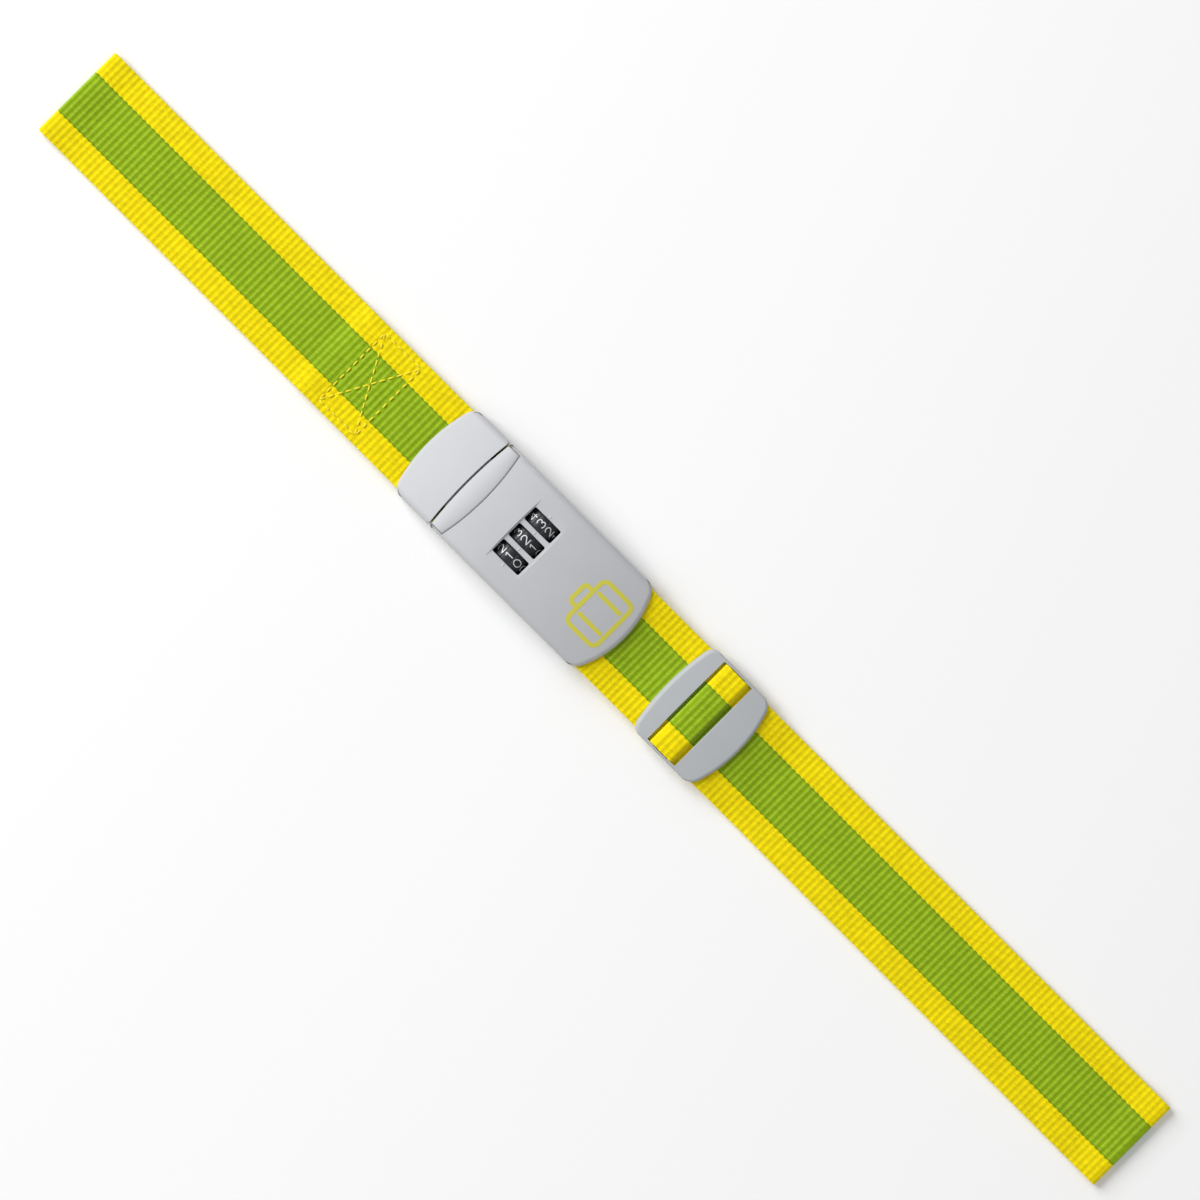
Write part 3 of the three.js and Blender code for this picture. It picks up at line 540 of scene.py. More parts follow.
def dial(number, y):
    """A wheel with bevelled rims and a shallow groove between each two numbers."""
    half = DIAL_WIDTH / 2
    profile = [(DIAL_BORE, -half), (DIAL_RADIUS - 0.6, -half), (DIAL_RADIUS - 0.32, -half + 0.08)]
    profile += [(DIAL_RADIUS - 0.1, -half + 0.3), (DIAL_RADIUS, -half + 0.6), (DIAL_RADIUS, 0.0)]
    profile += [(r, -a) for r, a in profile[-2::-1]]
    turns = 720
    rings = []
    for i in range(turns):
        angle = 2 * math.pi * i / turns
        phase = ((math.degrees(angle) - DIGIT_TURN) / DIGIT_STEP) % 1 - 0.5
        groove = DIAL_GROOVE[0] * math.exp(-((phase * DIGIT_STEP / DIAL_GROOVE[1]) ** 2))
        ring = []
        for radius, along in profile:
            r = radius - groove if radius > DIAL_BORE else radius
            ring.append((DIAL_X - r * math.sin(angle), y + along, DIAL_Z + r * math.cos(angle)))
        rings.append(ring)
    count = len(profile)
    faces = []
    for i in range(turns):
        n = (i + 1) % turns
        for j in range(count):
            k = (j + 1) % count
            faces.append([i * count + j, i * count + k, n * count + k, n * count + j])
    return smooth(new_object(f"dial_wheel_{number}", [p for ring in rings for p in ring], faces))


def bow(x, z, rx, rz, a, b, steps=14):
    """Points of an elliptical bow between two angles in degrees."""
    angles = np.radians(np.linspace(a, b, steps))
    return [(x + rx * math.cos(t), z + rz * math.sin(t)) for t in angles]


def number_strokes():
    """Strokes of the numbers 0 to 9 in a box 1 high and about 0.7 wide, centred."""
    ring = bow(0, 0, 0.36, 0.5, 90, 450, 29)[:-1]
    six = bow(0.04, -0.02, 0.38, 0.52, 62, 180, 12) + [(-0.34, -0.12)]
    belly = bow(0, -0.18, 0.34, 0.32, 90, 450, 25)[:-1]
    small_ring = bow(0, 0.25, 0.27, 0.25, 90, 450, 21)[:-1]
    large_ring = bow(0, -0.25, 0.34, 0.25, 90, 450, 25)[:-1]
    return [
        [(ring, True)],
        [([(-0.22, 0.3), (0.04, 0.5), (0.04, -0.5)], False)],
        [(bow(0, 0.2, 0.32, 0.3, 165, -38) + [(-0.34, -0.5), (0.36, -0.5)], False)],
        [(bow(0, 0.24, 0.29, 0.26, 150, -80), False), (bow(0, -0.24, 0.33, 0.26, 80, -150), False)],
        [([(0.18, -0.5), (0.18, 0.5), (-0.38, -0.16), (0.38, -0.16)], False)],
        [([(0.3, 0.5), (-0.24, 0.5), (-0.29, 0.08)] + bow(-0.01, -0.17, 0.34, 0.33, 128, -145), False)],
        [(six, False), (belly, True)],
        [([(-0.34, 0.5), (0.34, 0.5), (-0.1, -0.5)], False)],
        [(small_ring, True), (large_ring, True)],
        [([(-x, -z) for x, z in six], False), ([(-x, -z) for x, z in belly], True)],
    ]


def dial_numbers(number, y, shown):
    """Ten numbers printed round a wheel. The one shown faces up, and they count up towards -X."""
    vertices, faces = [], []
    for value, strokes in enumerate(number_strokes()):
        centre = math.radians((value - shown) * DIGIT_STEP + DIGIT_TURN)

        def on_wheel(rim, lift):
            angle = centre + rim[:, 1] / DIAL_RADIUS
            r = DIAL_RADIUS + lift
            return np.stack([DIAL_X - r * np.sin(angle), y + rim[:, 0], DIAL_Z + r * np.cos(angle)], axis=1)

        for layer, (line, closed) in enumerate(strokes):
            line = np.array(line) * (DIGIT_SIZE[1], DIGIT_SIZE[0])
            loop = list(line) + [line[0]] if closed else list(line)
            points = dense(loop, 0.25)[: -1 if closed else None]
            lifts = (-0.05, 0.03 + 0.004 * layer)
            raised_band(points, DIGIT_STROKE, closed, on_wheel, lifts, vertices, faces)
    return smooth(new_object(f"dial_numbers_{number}", vertices, faces))


# ---- raised lines ----


def band_rims(points, width, closed):
    """Left and right rims of a band of some width along a flat line."""
    points = np.array(points, float)
    if closed:
        ahead = np.roll(points, -1, axis=0) - np.roll(points, 1, axis=0)
    else:
        ahead = np.gradient(points, axis=0)
    ahead /= np.linalg.norm(ahead, axis=1)[:, None]
    side = np.stack([-ahead[:, 1], ahead[:, 0]], axis=1) * width / 2
    return points + side, points - side


def raised_band(points, width, closed, wrap, lifts, vertices, faces):
    """Adds a closed thin band to a mesh. wrap lays flat points on the surface at a lift above it."""
    rims = band_rims(points, width, closed)
    rows = [wrap(rim, lift) for rim in rims for lift in lifts]
    rows = [rows[0], rows[1], rows[3], rows[2]]
    base = len(vertices)
    n = len(points)
    for i in range(n):
        vertices.extend(tuple(row[i]) for row in rows)
    for i in range(n if closed else n - 1):
        j = (i + 1) % n
        for k in range(4):
            m = (k + 1) % 4
            faces.append([base + i * 4 + k, base + j * 4 + k, base + j * 4 + m, base + i * 4 + m])
    if not closed:
        faces.append([base + k for k in range(4)])
        faces.append([base + (n - 1) * 4 + k for k in range(4)][::-1])


def dense(points, step=0.5):
    """The same line with points no further apart than step."""
    points = np.array(points, float)
    out = []
    for a, b in zip(points[:-1], points[1:]):
        parts = max(1, math.ceil(np.linalg.norm(b - a) / step))
        out += [a + (b - a) * i / parts for i in range(parts)]
    return out + [points[-1]]


# ---- webbing ----


def slope(x0, z0, x1, z1, steps=40):
    t = np.linspace(0, 1, steps)
    return [(x0 + (x1 - x0) * s, z0 + (z1 - z0) * s * s * (3 - 2 * s)) for s in t]


def arc(x, z, radius, a, b, steps=40):
    angles = np.radians(np.linspace(a, b, steps))
    return [(x + radius * math.cos(s), z + radius * math.sin(s)) for s in angles]


def rounded_line(corners):
    """A line through corners (x, z, radius), each inner corner rounded by a circular arc."""
    points = [np.array(c[:2], float) for c in corners]
    line = [tuple(points[0])]
    for i in range(1, len(points) - 1):
        back = (points[i - 1] - points[i]) / np.linalg.norm(points[i - 1] - points[i])
        ahead = (points[i + 1] - points[i]) / np.linalg.norm(points[i + 1] - points[i])
        half = math.acos(np.clip(back @ ahead, -1, 1)) / 2
        radius = corners[i][2]
        centre = points[i] + (back + ahead) / np.linalg.norm(back + ahead) * radius / math.sin(half)
        start = points[i] + back * radius / math.tan(half) - centre
        end = points[i] + ahead * radius / math.tan(half) - centre
        a = math.atan2(start[1], start[0])
        turn = (math.atan2(end[1], end[0]) - a + math.pi) % (2 * math.pi) - math.pi
        for t in np.linspace(0, 1, 16):
            angle = a + turn * t
            line.append((centre[0] + radius * math.cos(angle), centre[1] + radius * math.sin(angle)))
    line.append(tuple(points[-1]))
    return line


def resample(line):
    """The line at even steps with a whole number of ribs on it, its length and its rib count."""
    points = np.array(line, float)
    keep = np.concatenate([[True], np.linalg.norm(np.diff(points, axis=0), axis=1) > 1e-6])
    points = points[keep]
    along = np.concatenate([[0], np.cumsum(np.linalg.norm(np.diff(points, axis=0), axis=1))])
    ribs = max(1, round(float(along[-1]) / RIB_PITCH))
    even = np.linspace(0, along[-1], ribs * SAMPLES_PER_RIB + 1)
    return np.stack([np.interp(even, along, points[:, i]) for i in (0, 1)], axis=1), along[-1], ribs


def across_samples():
    """Places across the webbing: close together at the rounded edges."""
    half = [WEB_HALF - d for d in (0.0, 0.05, 0.17, 0.36, 0.6, 0.95, 1.5)]
    half += list(np.linspace(WEB_HALF - 2.6, 0, 12))
    return np.array([-y for y in half[:-1]] + half[::-1])


def rib_profile(phase):
    """Height of a rib from 0 in the valley to 1 on its narrow crest."""
    return (0.5 - 0.5 * np.cos(2 * np.pi * phase)) ** 1.3


def dent(x, y, seams):
    """How far the sewing pulls the surface in."""
    depth = np.zeros_like(x)
    for (ax, ay), (bx, by) in seams:
        length = math.hypot(bx - ax, by - ay)
        t = np.clip(((x - ax) * (bx - ax) + (y - ay) * (by - ay)) / length**2, 0, 1)
        gap = np.hypot(x - ax - t * (bx - ax), y - ay - t * (by - ay))
        depth = np.maximum(depth, np.exp(-((gap / SEAM_WIDTH) ** 2)))
    inside = (x > SEAM_X[0]) & (x < SEAM_X[1]) & (np.abs(y) < SEAM_HALF)
    pucker = 0.5 + 0.5 * np.sin(1.9 * x + 2.3 * np.sin(0.8 * y)) * np.sin(1.4 * y + 1.7 * np.sin(0.6 * x))
    return np.maximum(depth, 0.55 * pucker * inside)


def normals(path):
    """Unit normals to the left of a path in the side view."""
    tangent = np.gradient(path, axis=0)
    tangent /= np.linalg.norm(tangent, axis=1)[:, None]
    return np.stack([-tangent[:, 1], tangent[:, 0]], axis=1)


def web_surface(path, y, profile, side, seams):
    """One face of the webbing, as rows of points across it."""
    normal = normals(path)
    edge = np.clip((np.abs(y) - (WEB_HALF - EDGE_ROUND)) / EDGE_ROUND, 0, 1)
    fullness = np.sqrt(1 - edge * edge)
    scallop = 1 - 0.0042 * (1 - profile[:, None]) * (np.abs(y)[None, :] / WEB_HALF) ** 8
    half = WEB_THICK / 2 - RIB_DEPTH * (1 - profile)
    out = np.maximum(half[:, None] * fullness[None, :], 0.02) * side
    x = path[:, 0, None] + normal[:, 0, None] * out
    z = path[:, 1, None] + normal[:, 1, None] * out
    across = y[None, :] * scallop
    if seams:
        top = (side * normal[:, 1, None] > 0.9) & (path[:, 1, None] > SECOND_MID + 0.8)
        z = z - SEAM_DEPTH * dent(x, across, seams) * fullness[None, :] * top
    return np.stack([x, across * np.ones_like(x), z], axis=-1)


def store_place(obj, rib, y):
    """Keeps each point's rib number and place across the strap for the material."""
    values = np.zeros((len(rib), 2 * len(y), 3), np.float32)
    values[:, :, 0] = rib[:, None]
    values[:, :, 1] = np.concatenate([y, y[::-1]])[None, :]
    place = obj.data.attributes.new("strap", "FLOAT_VECTOR", "POINT")
    place.data.foreach_set("vector", values.ravel())


def webbing(name, line, first_rib, seams=()):
    """A ribbed ribbon along a line in the side view. Returns the piece, its length and its rib count."""
    path, length, ribs = resample(line)
    rib = np.arange(len(path)) / SAMPLES_PER_RIB
    y = across_samples()
    top, low = (web_surface(path, y, rib_profile(rib % 1), side, seams) for side in (1, -1))
    ring = np.concatenate([top, low[:, ::-1]], axis=1)
    index = np.arange(ring.shape[0] * ring.shape[1]).reshape(ring.shape[:2])
    a, b = index[:-1], index[1:]
    quads = np.stack([a, np.roll(a, -1, axis=1), np.roll(b, -1, axis=1), b], axis=-1).reshape(-1, 4)
    faces = quads.tolist() + [index[0][::-1].tolist(), index[-1].tolist()]
    obj = new_object(name, ring.reshape(-1, 3), faces)
    store_place(obj, first_rib + rib, y)
    return smooth(obj, 60), length, ribs


def round_bar(bar):
    """X and Z of a steel pin's axis, and the radius of the webbing's middle line round it."""
    low, high = bar
    return (low[0] + high[0]) / 2, (low[2] + high[2]) / 2, (high[0] - low[0]) / 2 + GAP + WEB_THICK / 2


def tongue_line():
    """From the sewn tail's end round the tongue's bar and along the top to the left fold."""
    x, z, wrap = round_bar(TONGUE_BAR)
    line = [(TAIL_END_X, SECOND_MID)]
    line += slope(x - 10, SECOND_MID, x - 1, z - wrap)
    line += arc(x, z, wrap, -90, 90)
    line += slope(x - 1, z + wrap, TONGUE_RISE_X, THIRD_MID)
    line += slope(TONGUE_STEP[1], THIRD_MID, TONGUE_STEP[0], SECOND_MID)
    return line + [(-FOLD_END_X, SECOND_MID)]


def floor_line():
    """From the left fold's top round under the whole strap to the right fold's top."""
    z = FLOOR_MID + FOLD_RADIUS
    line = slope(-FOLD_END_X, SECOND_MID, -FOLD_X + 1, z + FOLD_RADIUS)
    line += arc(-FOLD_X, z, FOLD_RADIUS, 90, 270)
    line += arc(FOLD_X, z, FOLD_RADIUS, -90, 90)
    return line + slope(FOLD_X - 1, z + FOLD_RADIUS, FOLD_END_X, SECOND_MID)


def right_line():
    """From the right fold along the top to the slider."""
    return [(FOLD_END_X, SECOND_MID)] + slope(RIGHT_LEVEL_X, SECOND_MID, RIGHT_RUN_X, FOURTH_MID)


def slider_line():
    """Over the slider's middle bar, round the lock's bar and back round the middle bar to the tail."""
    x0, x1, z0, z1 = CENTRE_BAR
    low, high = HUMP_CORNERS
    over = WEB_THICK * 1.5 + 0.4
    under = WEB_THICK / 2 + 0.2
    line = rounded_line(
        [
            (RIGHT_RUN_X, FOURTH_MID, 0),
            (x1 + over, FOURTH_MID, low),
            (x1 + over, z1 + over, high),
            (x0 - over, z1 + over, high),
            (x0 - over, FOURTH_MID, low),
            (SLIDER_RUN_END_X + 4, FOURTH_MID, 0),
        ]
    )
    bar_x, bar_z, wrap = round_bar(LOCK_BAR)
    line += slope(SLIDER_RUN_END_X, FOURTH_MID, bar_x + 2, bar_z + wrap)
    line += arc(bar_x, bar_z, wrap, 90, 270)
    line += slope(bar_x + 2, bar_z - wrap, RETURN_LEVEL_X, SECOND_MID)
    return line + rounded_line(
        [
            (46, SECOND_MID, 0),
            (58, SECOND_MID, 2),
            (61.5, z0 - under, 2),
            (x1 + under, z0 - under, LOOP_CORNER),
            (x1 + under, z1 + under, LOOP_CORNER),
            (x0 - under, z1 + under, LOOP_CORNER),
            (x0 - under, THIRD_MID, LOOP_CORNER),
            (SLIDER_TAIL_X, THIRD_MID, 0),
        ]
    )


def sewn_box():
    """Ends of the seams: four sides and two diagonals."""
    a, b, c, d = [(x, y) for x in SEAM_X for y in (-SEAM_HALF, SEAM_HALF)]
    return [(a, b), (c, d), (a, c), (b, d), (a, d), (b, c)]


SEAMS = sewn_box()


def stitch(middle, ahead, reach, z, rings=11, sides=10):
    """Rings of points of one short arched strand whose ends dip into the webbing."""
    (x, y), (dx, dy) = middle, ahead
    made = []
    for t in np.linspace(-1, 1, rings):
        lift = z + 0.06 - 0.62 * abs(t) ** 3
        thin = THREAD_RADIUS * (1 - 0.35 * abs(t) ** 4)
        ring = []
        for angle in np.linspace(0, 2 * np.pi, sides, endpoint=False):
            radius = thin * (1 + 0.1 * math.cos(2 * angle + 9 * t))
            side = radius * math.cos(angle)
            up = radius * math.sin(angle)
            ring.append((x + dx * reach * t - dy * side, y + dy * reach * t + dx * side, lift + up))
        made.append(ring)
    return made


def stitches(name, z):
    """Thread stitches along the seams, each a little off its place."""
    vertices, faces = [], []
    rng = np.random.default_rng(7)
    for (ax, ay), (bx, by) in SEAMS:
        length = math.hypot(bx - ax, by - ay)
        count = round(length / STITCH_PITCH)
        ux, uy = (bx - ax) / length, (by - ay) / length
        for k in range(count):
            along = (k + 0.5) * length / count + rng.uniform(-0.12, 0.12)
            swing = rng.uniform(-0.07, 0.07)
            reach = STITCH_LENGTH / 2 * rng.uniform(0.94, 1.04)
            middle = (ax + ux * along, ay + uy * along)
            ahead = (ux - uy * swing, uy + ux * swing)
            rings = stitch(middle, ahead, reach, z)
            faces += tube_faces(len(vertices), len(rings), len(rings[0]))
            vertices += [p for ring in rings for p in ring]
    return smooth(new_object(name, vertices, faces), 50)


# ---- print on the lock ----


def on_crown(rim, lift):
    return np.column_stack([rim, crown(rim[:, 0], rim[:, 1]) + lift])


def suitcase_print():
    """A generic suitcase outline: its handle points towards the dials."""
    x0, x1 = PRINT_X
    half = ((x1 - x0) / 2, PRINT_HALF)
    body = [p[:2] for p in rounded_rectangle((x0 + x1) / 2, 0, *half, PRINT_CORNER, 0, steps=8)]
    x, y = x0 - HANDLE_REACH + HANDLE_CORNER, HANDLE_HALF - HANDLE_CORNER
    corner = [
        (HANDLE_CORNER * math.sin(a), HANDLE_CORNER * math.cos(a)) for a in np.linspace(0, np.pi / 2, 8)
    ]
    handle = [(x0 - 0.9, -HANDLE_HALF)]
    handle += [(x - s, -y - c) for s, c in corner]
    handle += [(x - c, y + s) for s, c in corner]
    handle += [(x0 - 0.9, HANDLE_HALF)]
    vertices, faces = [], []
    lifts = (-0.05, 0.05)
    raised_band(dense(body + body[:1])[:-1], PRINT_WIDTH, True, on_crown, lifts, vertices, faces)
    raised_band(dense(handle), PRINT_WIDTH, False, on_crown, lifts, vertices, faces)
    for y in (-PRINT_STRAP_Y, PRINT_STRAP_Y):
        straps = dense([(x0 + 1.9, y), (x1 - 1.9, y)])
        raised_band(straps, PRINT_WIDTH, False, on_crown, lifts, vertices, faces)
    return smooth(new_object("lock_print", vertices, faces))


def index_marks():
    """Small raised index lines on the bars between the dial windows."""
    made = []
    sizes = ((0.42, 0.75, 0.3, -0.1), (0.42, 0.75, 0.3, 0.1), (0.28, 0.6, 0.22, 0.2))
    for place in (-1.5, -0.5, 0.5, 1.5):
        y = place * DIAL_PITCH
        z = min(CHANNEL[2], float(crown(np.array(DIAL_X), y)))
        made.append(loft("mark", [rounded_rectangle(DIAL_X, y, *size, z + rise) for *size, rise in sizes]))
    marks = combine(made[0], made[1:], "UNION")
    marks.name = "index_marks"
    return smooth(marks)


# ---- materials ----


class Look:
    """A material with a Principled shader and short calls that add nodes to it."""

    def __init__(self, name, **shader):
        self.material = bpy.data.materials.new(name)
        self.material.use_nodes = True
        self.nodes = self.material.node_tree.nodes
        self.links = self.material.node_tree.links
        self.shader = self.nodes["Principled BSDF"]
        for key, value in shader.items():
            self.shader.inputs[key.replace("_", " ")].default_value = value

    def put(self, socket, value):
        if hasattr(value, "links"):
            self.links.new(value, socket)
        else:
            socket.default_value = value

    def math(self, operation, *values):
        node = self.nodes.new("ShaderNodeMath")
        node.operation = operation
        for socket, value in zip(node.inputs, values):
            self.put(socket, value)
        return node.outputs[0]

    def mix(self, share, a, b):
        node = self.nodes.new("ShaderNodeMix")
        node.data_type = "RGBA"
        node.clamp_factor = True
        self.put(node.inputs[0], share)
        self.put(node.inputs[6], a)
        self.put(node.inputs[7], b)
        return node.outputs[2]

    def range(self, value, low, high, to_low, to_high):
        node = self.nodes.new("ShaderNodeMapRange")
        node.interpolation_type = "SMOOTHSTEP"
        for socket, item in zip(node.inputs, (value, low, high, to_low, to_high)):
            self.put(socket, item)
        return node.outputs[0]

    def place(self):
        return self.nodes.new("ShaderNodeTexCoord").outputs["Object"]

    def noise(self, scale, detail=2.0, roughness=0.5, place=None):
        node = self.nodes.new("ShaderNodeTexNoise")
        self.put(node.inputs["Vector"], place or self.place())
        self.put(node.inputs["Scale"], scale)
        self.put(node.inputs["Detail"], detail)
        self.put(node.inputs["Roughness"], roughness)
        return node.outputs["Fac"]

    def drawn_out(self, share, turn=0.0):
        """Object coordinates with Y pressed together, so that a noise in them is drawn out along Y."""
        node = self.nodes.new("ShaderNodeMapping")
        self.links.new(self.place(), node.inputs["Vector"])
        node.inputs["Scale"].default_value = (1.0, share, 1.0)
        node.inputs["Rotation"].default_value = (0.0, 0.0, turn)
        return node.outputs[0]

    def vary(self, value, noise, amount):
        """The value, raised and lowered by a noise that is about one half."""
        return self.math("ADD", value, self.math("MULTIPLY", self.math("SUBTRACT", noise, 0.5), amount))

    def toned(self, colour, value):
        node = self.nodes.new("ShaderNodeHueSaturation")
        self.put(node.inputs["Color"], colour)
        self.put(node.inputs["Value"], value)
        return node.outputs[0]

    def bump(self, height, distance, strength=1.0, below=None):
        node = self.nodes.new("ShaderNodeBump")
        self.put(node.inputs["Strength"], strength)
        self.put(node.inputs["Distance"], distance)
        self.put(node.inputs["Height"], height)
        if below is not None:
            self.links.new(below, node.inputs["Normal"])
        return node.outputs["Normal"]

    def set(self, name, value):
        self.put(self.shader.inputs[name], value)


# Linear colours of the webbing: lighter on the ribs (painted highlight), darker between them (painted
# shade), and darker still between the yarns (painted shade)
GREEN_CREST_PAINTED_HIGHLIGHT = (0.37, 0.545, 0.03, 1)
GREEN_VALLEY_PAINTED_SHADE = (0.23, 0.38, 0.0, 1)
GREEN_GAP_PAINTED_SHADE = (0.1, 0.19, 0.0, 1)
YELLOW_CREST_PAINTED_HIGHLIGHT = (0.9, 0.75, 0.0, 1)
YELLOW_VALLEY_PAINTED_SHADE = (0.84, 0.67, 0.0, 1)
YELLOW_GAP_PAINTED_SHADE = (0.6, 0.42, 0.0, 1)
STRIPE_BORDER = (0.13, 0.2, 0.0, 1)


def webbing_look():
    """Rep-weave webbing: yarns lie across each rib, a green stripe between yellow edges."""
    look = Look("webbing", Sheen_Weight=0.08, Sheen_Roughness=0.45, Specular_IOR_Level=0.12)
    source = look.nodes.new("ShaderNodeAttribute")
    source.attribute_name = "strap"
    split = look.nodes.new("ShaderNodeSeparateXYZ")
    look.links.new(source.outputs["Vector"], split.inputs[0])
    rib_place, across = split.outputs[0], split.outputs[1]
    rib = look.math("FRACT", rib_place)
    rib_index = look.math("FLOOR", rib_place)
    crest = look.math("POWER", look.math("SINE", look.math("MULTIPLY", rib, math.pi)), 2.6)
    odd = look.math("MULTIPLY", look.math("MODULO", rib_index, 2.0), 0.5)
    lean = look.math("MULTIPLY", look.math("SINE", look.math("MULTIPLY", rib, 2 * math.pi)), -0.28)
    lane = look.math("ADD", look.math("ADD", look.math("DIVIDE", across, YARN_PITCH), odd), lean)
    yarn = look.math("ABSOLUTE", look.math("SINE", look.math("MULTIPLY", lane, math.pi)))
    yarn = look.math("POWER", yarn, 0.6)
    shade = look.nodes.new("ShaderNodeTexWhiteNoise")
    shade.noise_dimensions = "2D"
    pair = look.nodes.new("ShaderNodeCombineXYZ")
    look.links.new(look.math("FLOOR", lane), pair.inputs[0])
    look.links.new(rib_index, pair.inputs[1])
    look.links.new(pair.outputs[0], shade.inputs["Vector"])
    fibre = look.noise(9000.0, 3.0, 0.6)
    cloud = look.noise(45.0, 2.0)
    scallop = look.math("MULTIPLY", look.math("SUBTRACT", crest, 0.5), 0.38)
    reach = look.math("ADD", look.math("ABSOLUTE", across), scallop)
    edge = look.range(reach, STRIPE_HALF - 0.12, STRIPE_HALF + 0.12, 0.0, 1.0)
    border = look.math("ABSOLUTE", look.math("SUBTRACT", reach, STRIPE_HALF - 0.45))
    border = look.range(border, 0.0, 0.5, 0.5, 0.0)
    # Painted highlight on the rib crests and painted shade in the valleys between them
    green = look.mix(crest, GREEN_VALLEY_PAINTED_SHADE, GREEN_CREST_PAINTED_HIGHLIGHT)
    yellow = look.mix(crest, YELLOW_VALLEY_PAINTED_SHADE, YELLOW_CREST_PAINTED_HIGHLIGHT)
    colour = look.mix(edge, look.mix(border, green, STRIPE_BORDER), yellow)
    # Painted shade in the gaps between the yarns
    gap_shade = look.math("MULTIPLY", look.math("SUBTRACT", 1.0, yarn), 0.4)
    colour = look.mix(gap_shade, colour, look.mix(edge, GREEN_GAP_PAINTED_SHADE, YELLOW_GAP_PAINTED_SHADE))
    tint = look.math("ADD", look.math("MULTIPLY", shade.outputs["Value"], 0.16), 0.9)
    tint = look.vary(look.vary(tint, cloud, 0.18), fibre, 0.16)
    look.set("Base Color", look.toned(colour, tint))
    look.set("Roughness", look.range(yarn, 0.0, 1.0, 0.95, 0.68))
    height = look.math("ADD", yarn, look.math("MULTIPLY", fibre, 0.3))
    look.set("Normal", look.bump(height, 0.00016, 0.8))
    return look.material


def plastic_look(name, colour, roughness, grain=0.00001, wear=0.08):
    """Moulded plastic: fine grain, faint flow clouds, hairline scuffs and paler worn edges."""
    look = Look(name, Specular_IOR_Level=0.36)
    clouds = look.noise(60.0, 3.0)
    speckle = look.noise(5200.0, 2.0)
    scuff = look.noise(1900.0, 4.0, 0.7, look.drawn_out(0.06, 0.4))
    marks = look.range(scuff, 0.66, 0.78, 0.0, 1.0)
    value = look.math("ADD", 0.94, look.math("MULTIPLY", clouds, 0.08))
    value = look.vary(value, speckle, 0.06)
    edge = look.range(look.nodes.new("ShaderNodeNewGeometry").outputs["Pointiness"], 0.515, 0.56, 0.0, wear)
    look.set("Base Color", look.toned((*colour, 1), look.math("ADD", value, edge)))
    gloss = look.vary(roughness, clouds, 0.12)
    look.set("Roughness", look.math("ADD", gloss, look.math("MULTIPLY", marks, 0.14)))
    fine = look.bump(speckle, grain, 0.8)
    look.set("Normal", look.bump(marks, 0.000006, 0.4, fine))
    return look.material


def steel_look(name, colour):
    """Plated steel, brushed along one direction."""
    look = Look(name, Metallic=1.0)
    lines = look.noise(7000.0, 3.0, 0.6, look.drawn_out(0.05))
    clouds = look.noise(180.0, 3.0)
    dull = tuple(c * 0.72 for c in colour)
    look.set("Base Color", look.mix(look.math("MULTIPLY", clouds, 0.6), (*colour, 1), (*dull, 1)))
    look.set("Roughness", look.range(lines, 0.3, 0.7, 0.24, 0.42))
    look.set("Normal", look.bump(lines, 0.000008, 0.6))
    return look.material


def thread_look():
    """Twisted polyester thread."""
    look = Look("thread", Sheen_Weight=0.12, Sheen_Roughness=0.4)
    wave = look.nodes.new("ShaderNodeTexWave")
    wave.bands_direction = "DIAGONAL"
    look.links.new(look.place(), wave.inputs["Vector"])
    wave.inputs["Scale"].default_value = 900.0
    wave.inputs["Distortion"].default_value = 1.5
    twist = wave.outputs["Fac"]
    fibre = look.noise(16000.0, 2.0)
    look.set("Base Color", look.mix(twist, (0.78, 0.64, 0.0, 1), (0.92, 0.81, 0.03, 1)))
    look.set("Roughness", look.range(fibre, 0.2, 0.8, 0.5, 0.75))
    look.set("Normal", look.bump(twist, 0.00006, 0.7))
    return look.material


def print_look(name, colour):
    """Pad-printed ink: even, slightly glossy, with a few thin spots."""
    look = Look(name, Specular_IOR_Level=0.4)
    spots = look.noise(2500.0, 3.0)
    thin = look.range(spots, 0.62, 0.75, 0.0, 0.25)
    look.set("Base Color", look.mix(thin, (*colour, 1), (0.55, 0.55, 0.5, 1)))
    look.set("Roughness", look.range(spots, 0.3, 0.7, 0.42, 0.58))
    look.set("Normal", look.bump(spots, 0.000008, 0.5))
    return look.material


def floor_look():
    look = Look("floor", Specular_IOR_Level=0.1)
    paper = look.noise(700.0, 3.0)
    shade = look.math("MULTIPLY", paper, 0.3)
    look.set("Base Color", look.mix(shade, (0.9, 0.9, 0.9, 1), (0.87, 0.87, 0.87, 1)))
    look.set("Roughness", 0.9)
    return look.material


# ---- assembly ----


def dress(obj, material):
    obj.data.materials.clear()
    obj.data.materials.append(material)
    return obj


def place_hard_pieces(looks):
    """The visible moulded pieces stand for their CAD nodes."""
    pieces = [
        (lock_cover(), "lock", ["lock_cover"], "silver_plastic"),
        (release_button(), "button", ["release_button"], "silver_plastic"),
        (tongue_cover(), "tongue", ["tongue_cover"], "silver_plastic"),
        (slider(), "slider", ["slider_frame"], "grey_plastic"),
        (suitcase_print(), "lock", [], "print"),
        (index_marks(), "lock", [], "silver_plastic"),
    ]
    for obj, body, nodes, slot in pieces:
        dress(obj, looks[slot])
        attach(obj, body)
        if nodes:
            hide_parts(*nodes)
    for i, shown in enumerate(SHOWN_DIGITS):
        y = (i - 1) * DIAL_PITCH
        wheel = dress(dial(i + 1, y), looks["black_plastic"])
        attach(wheel, f"dial_{i + 1}")
        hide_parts(f"dial_{i + 1}")
        numbers = dress(dial_numbers(i + 1, y, shown), looks["white_print"])
        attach(numbers, f"dial_{i + 1}")


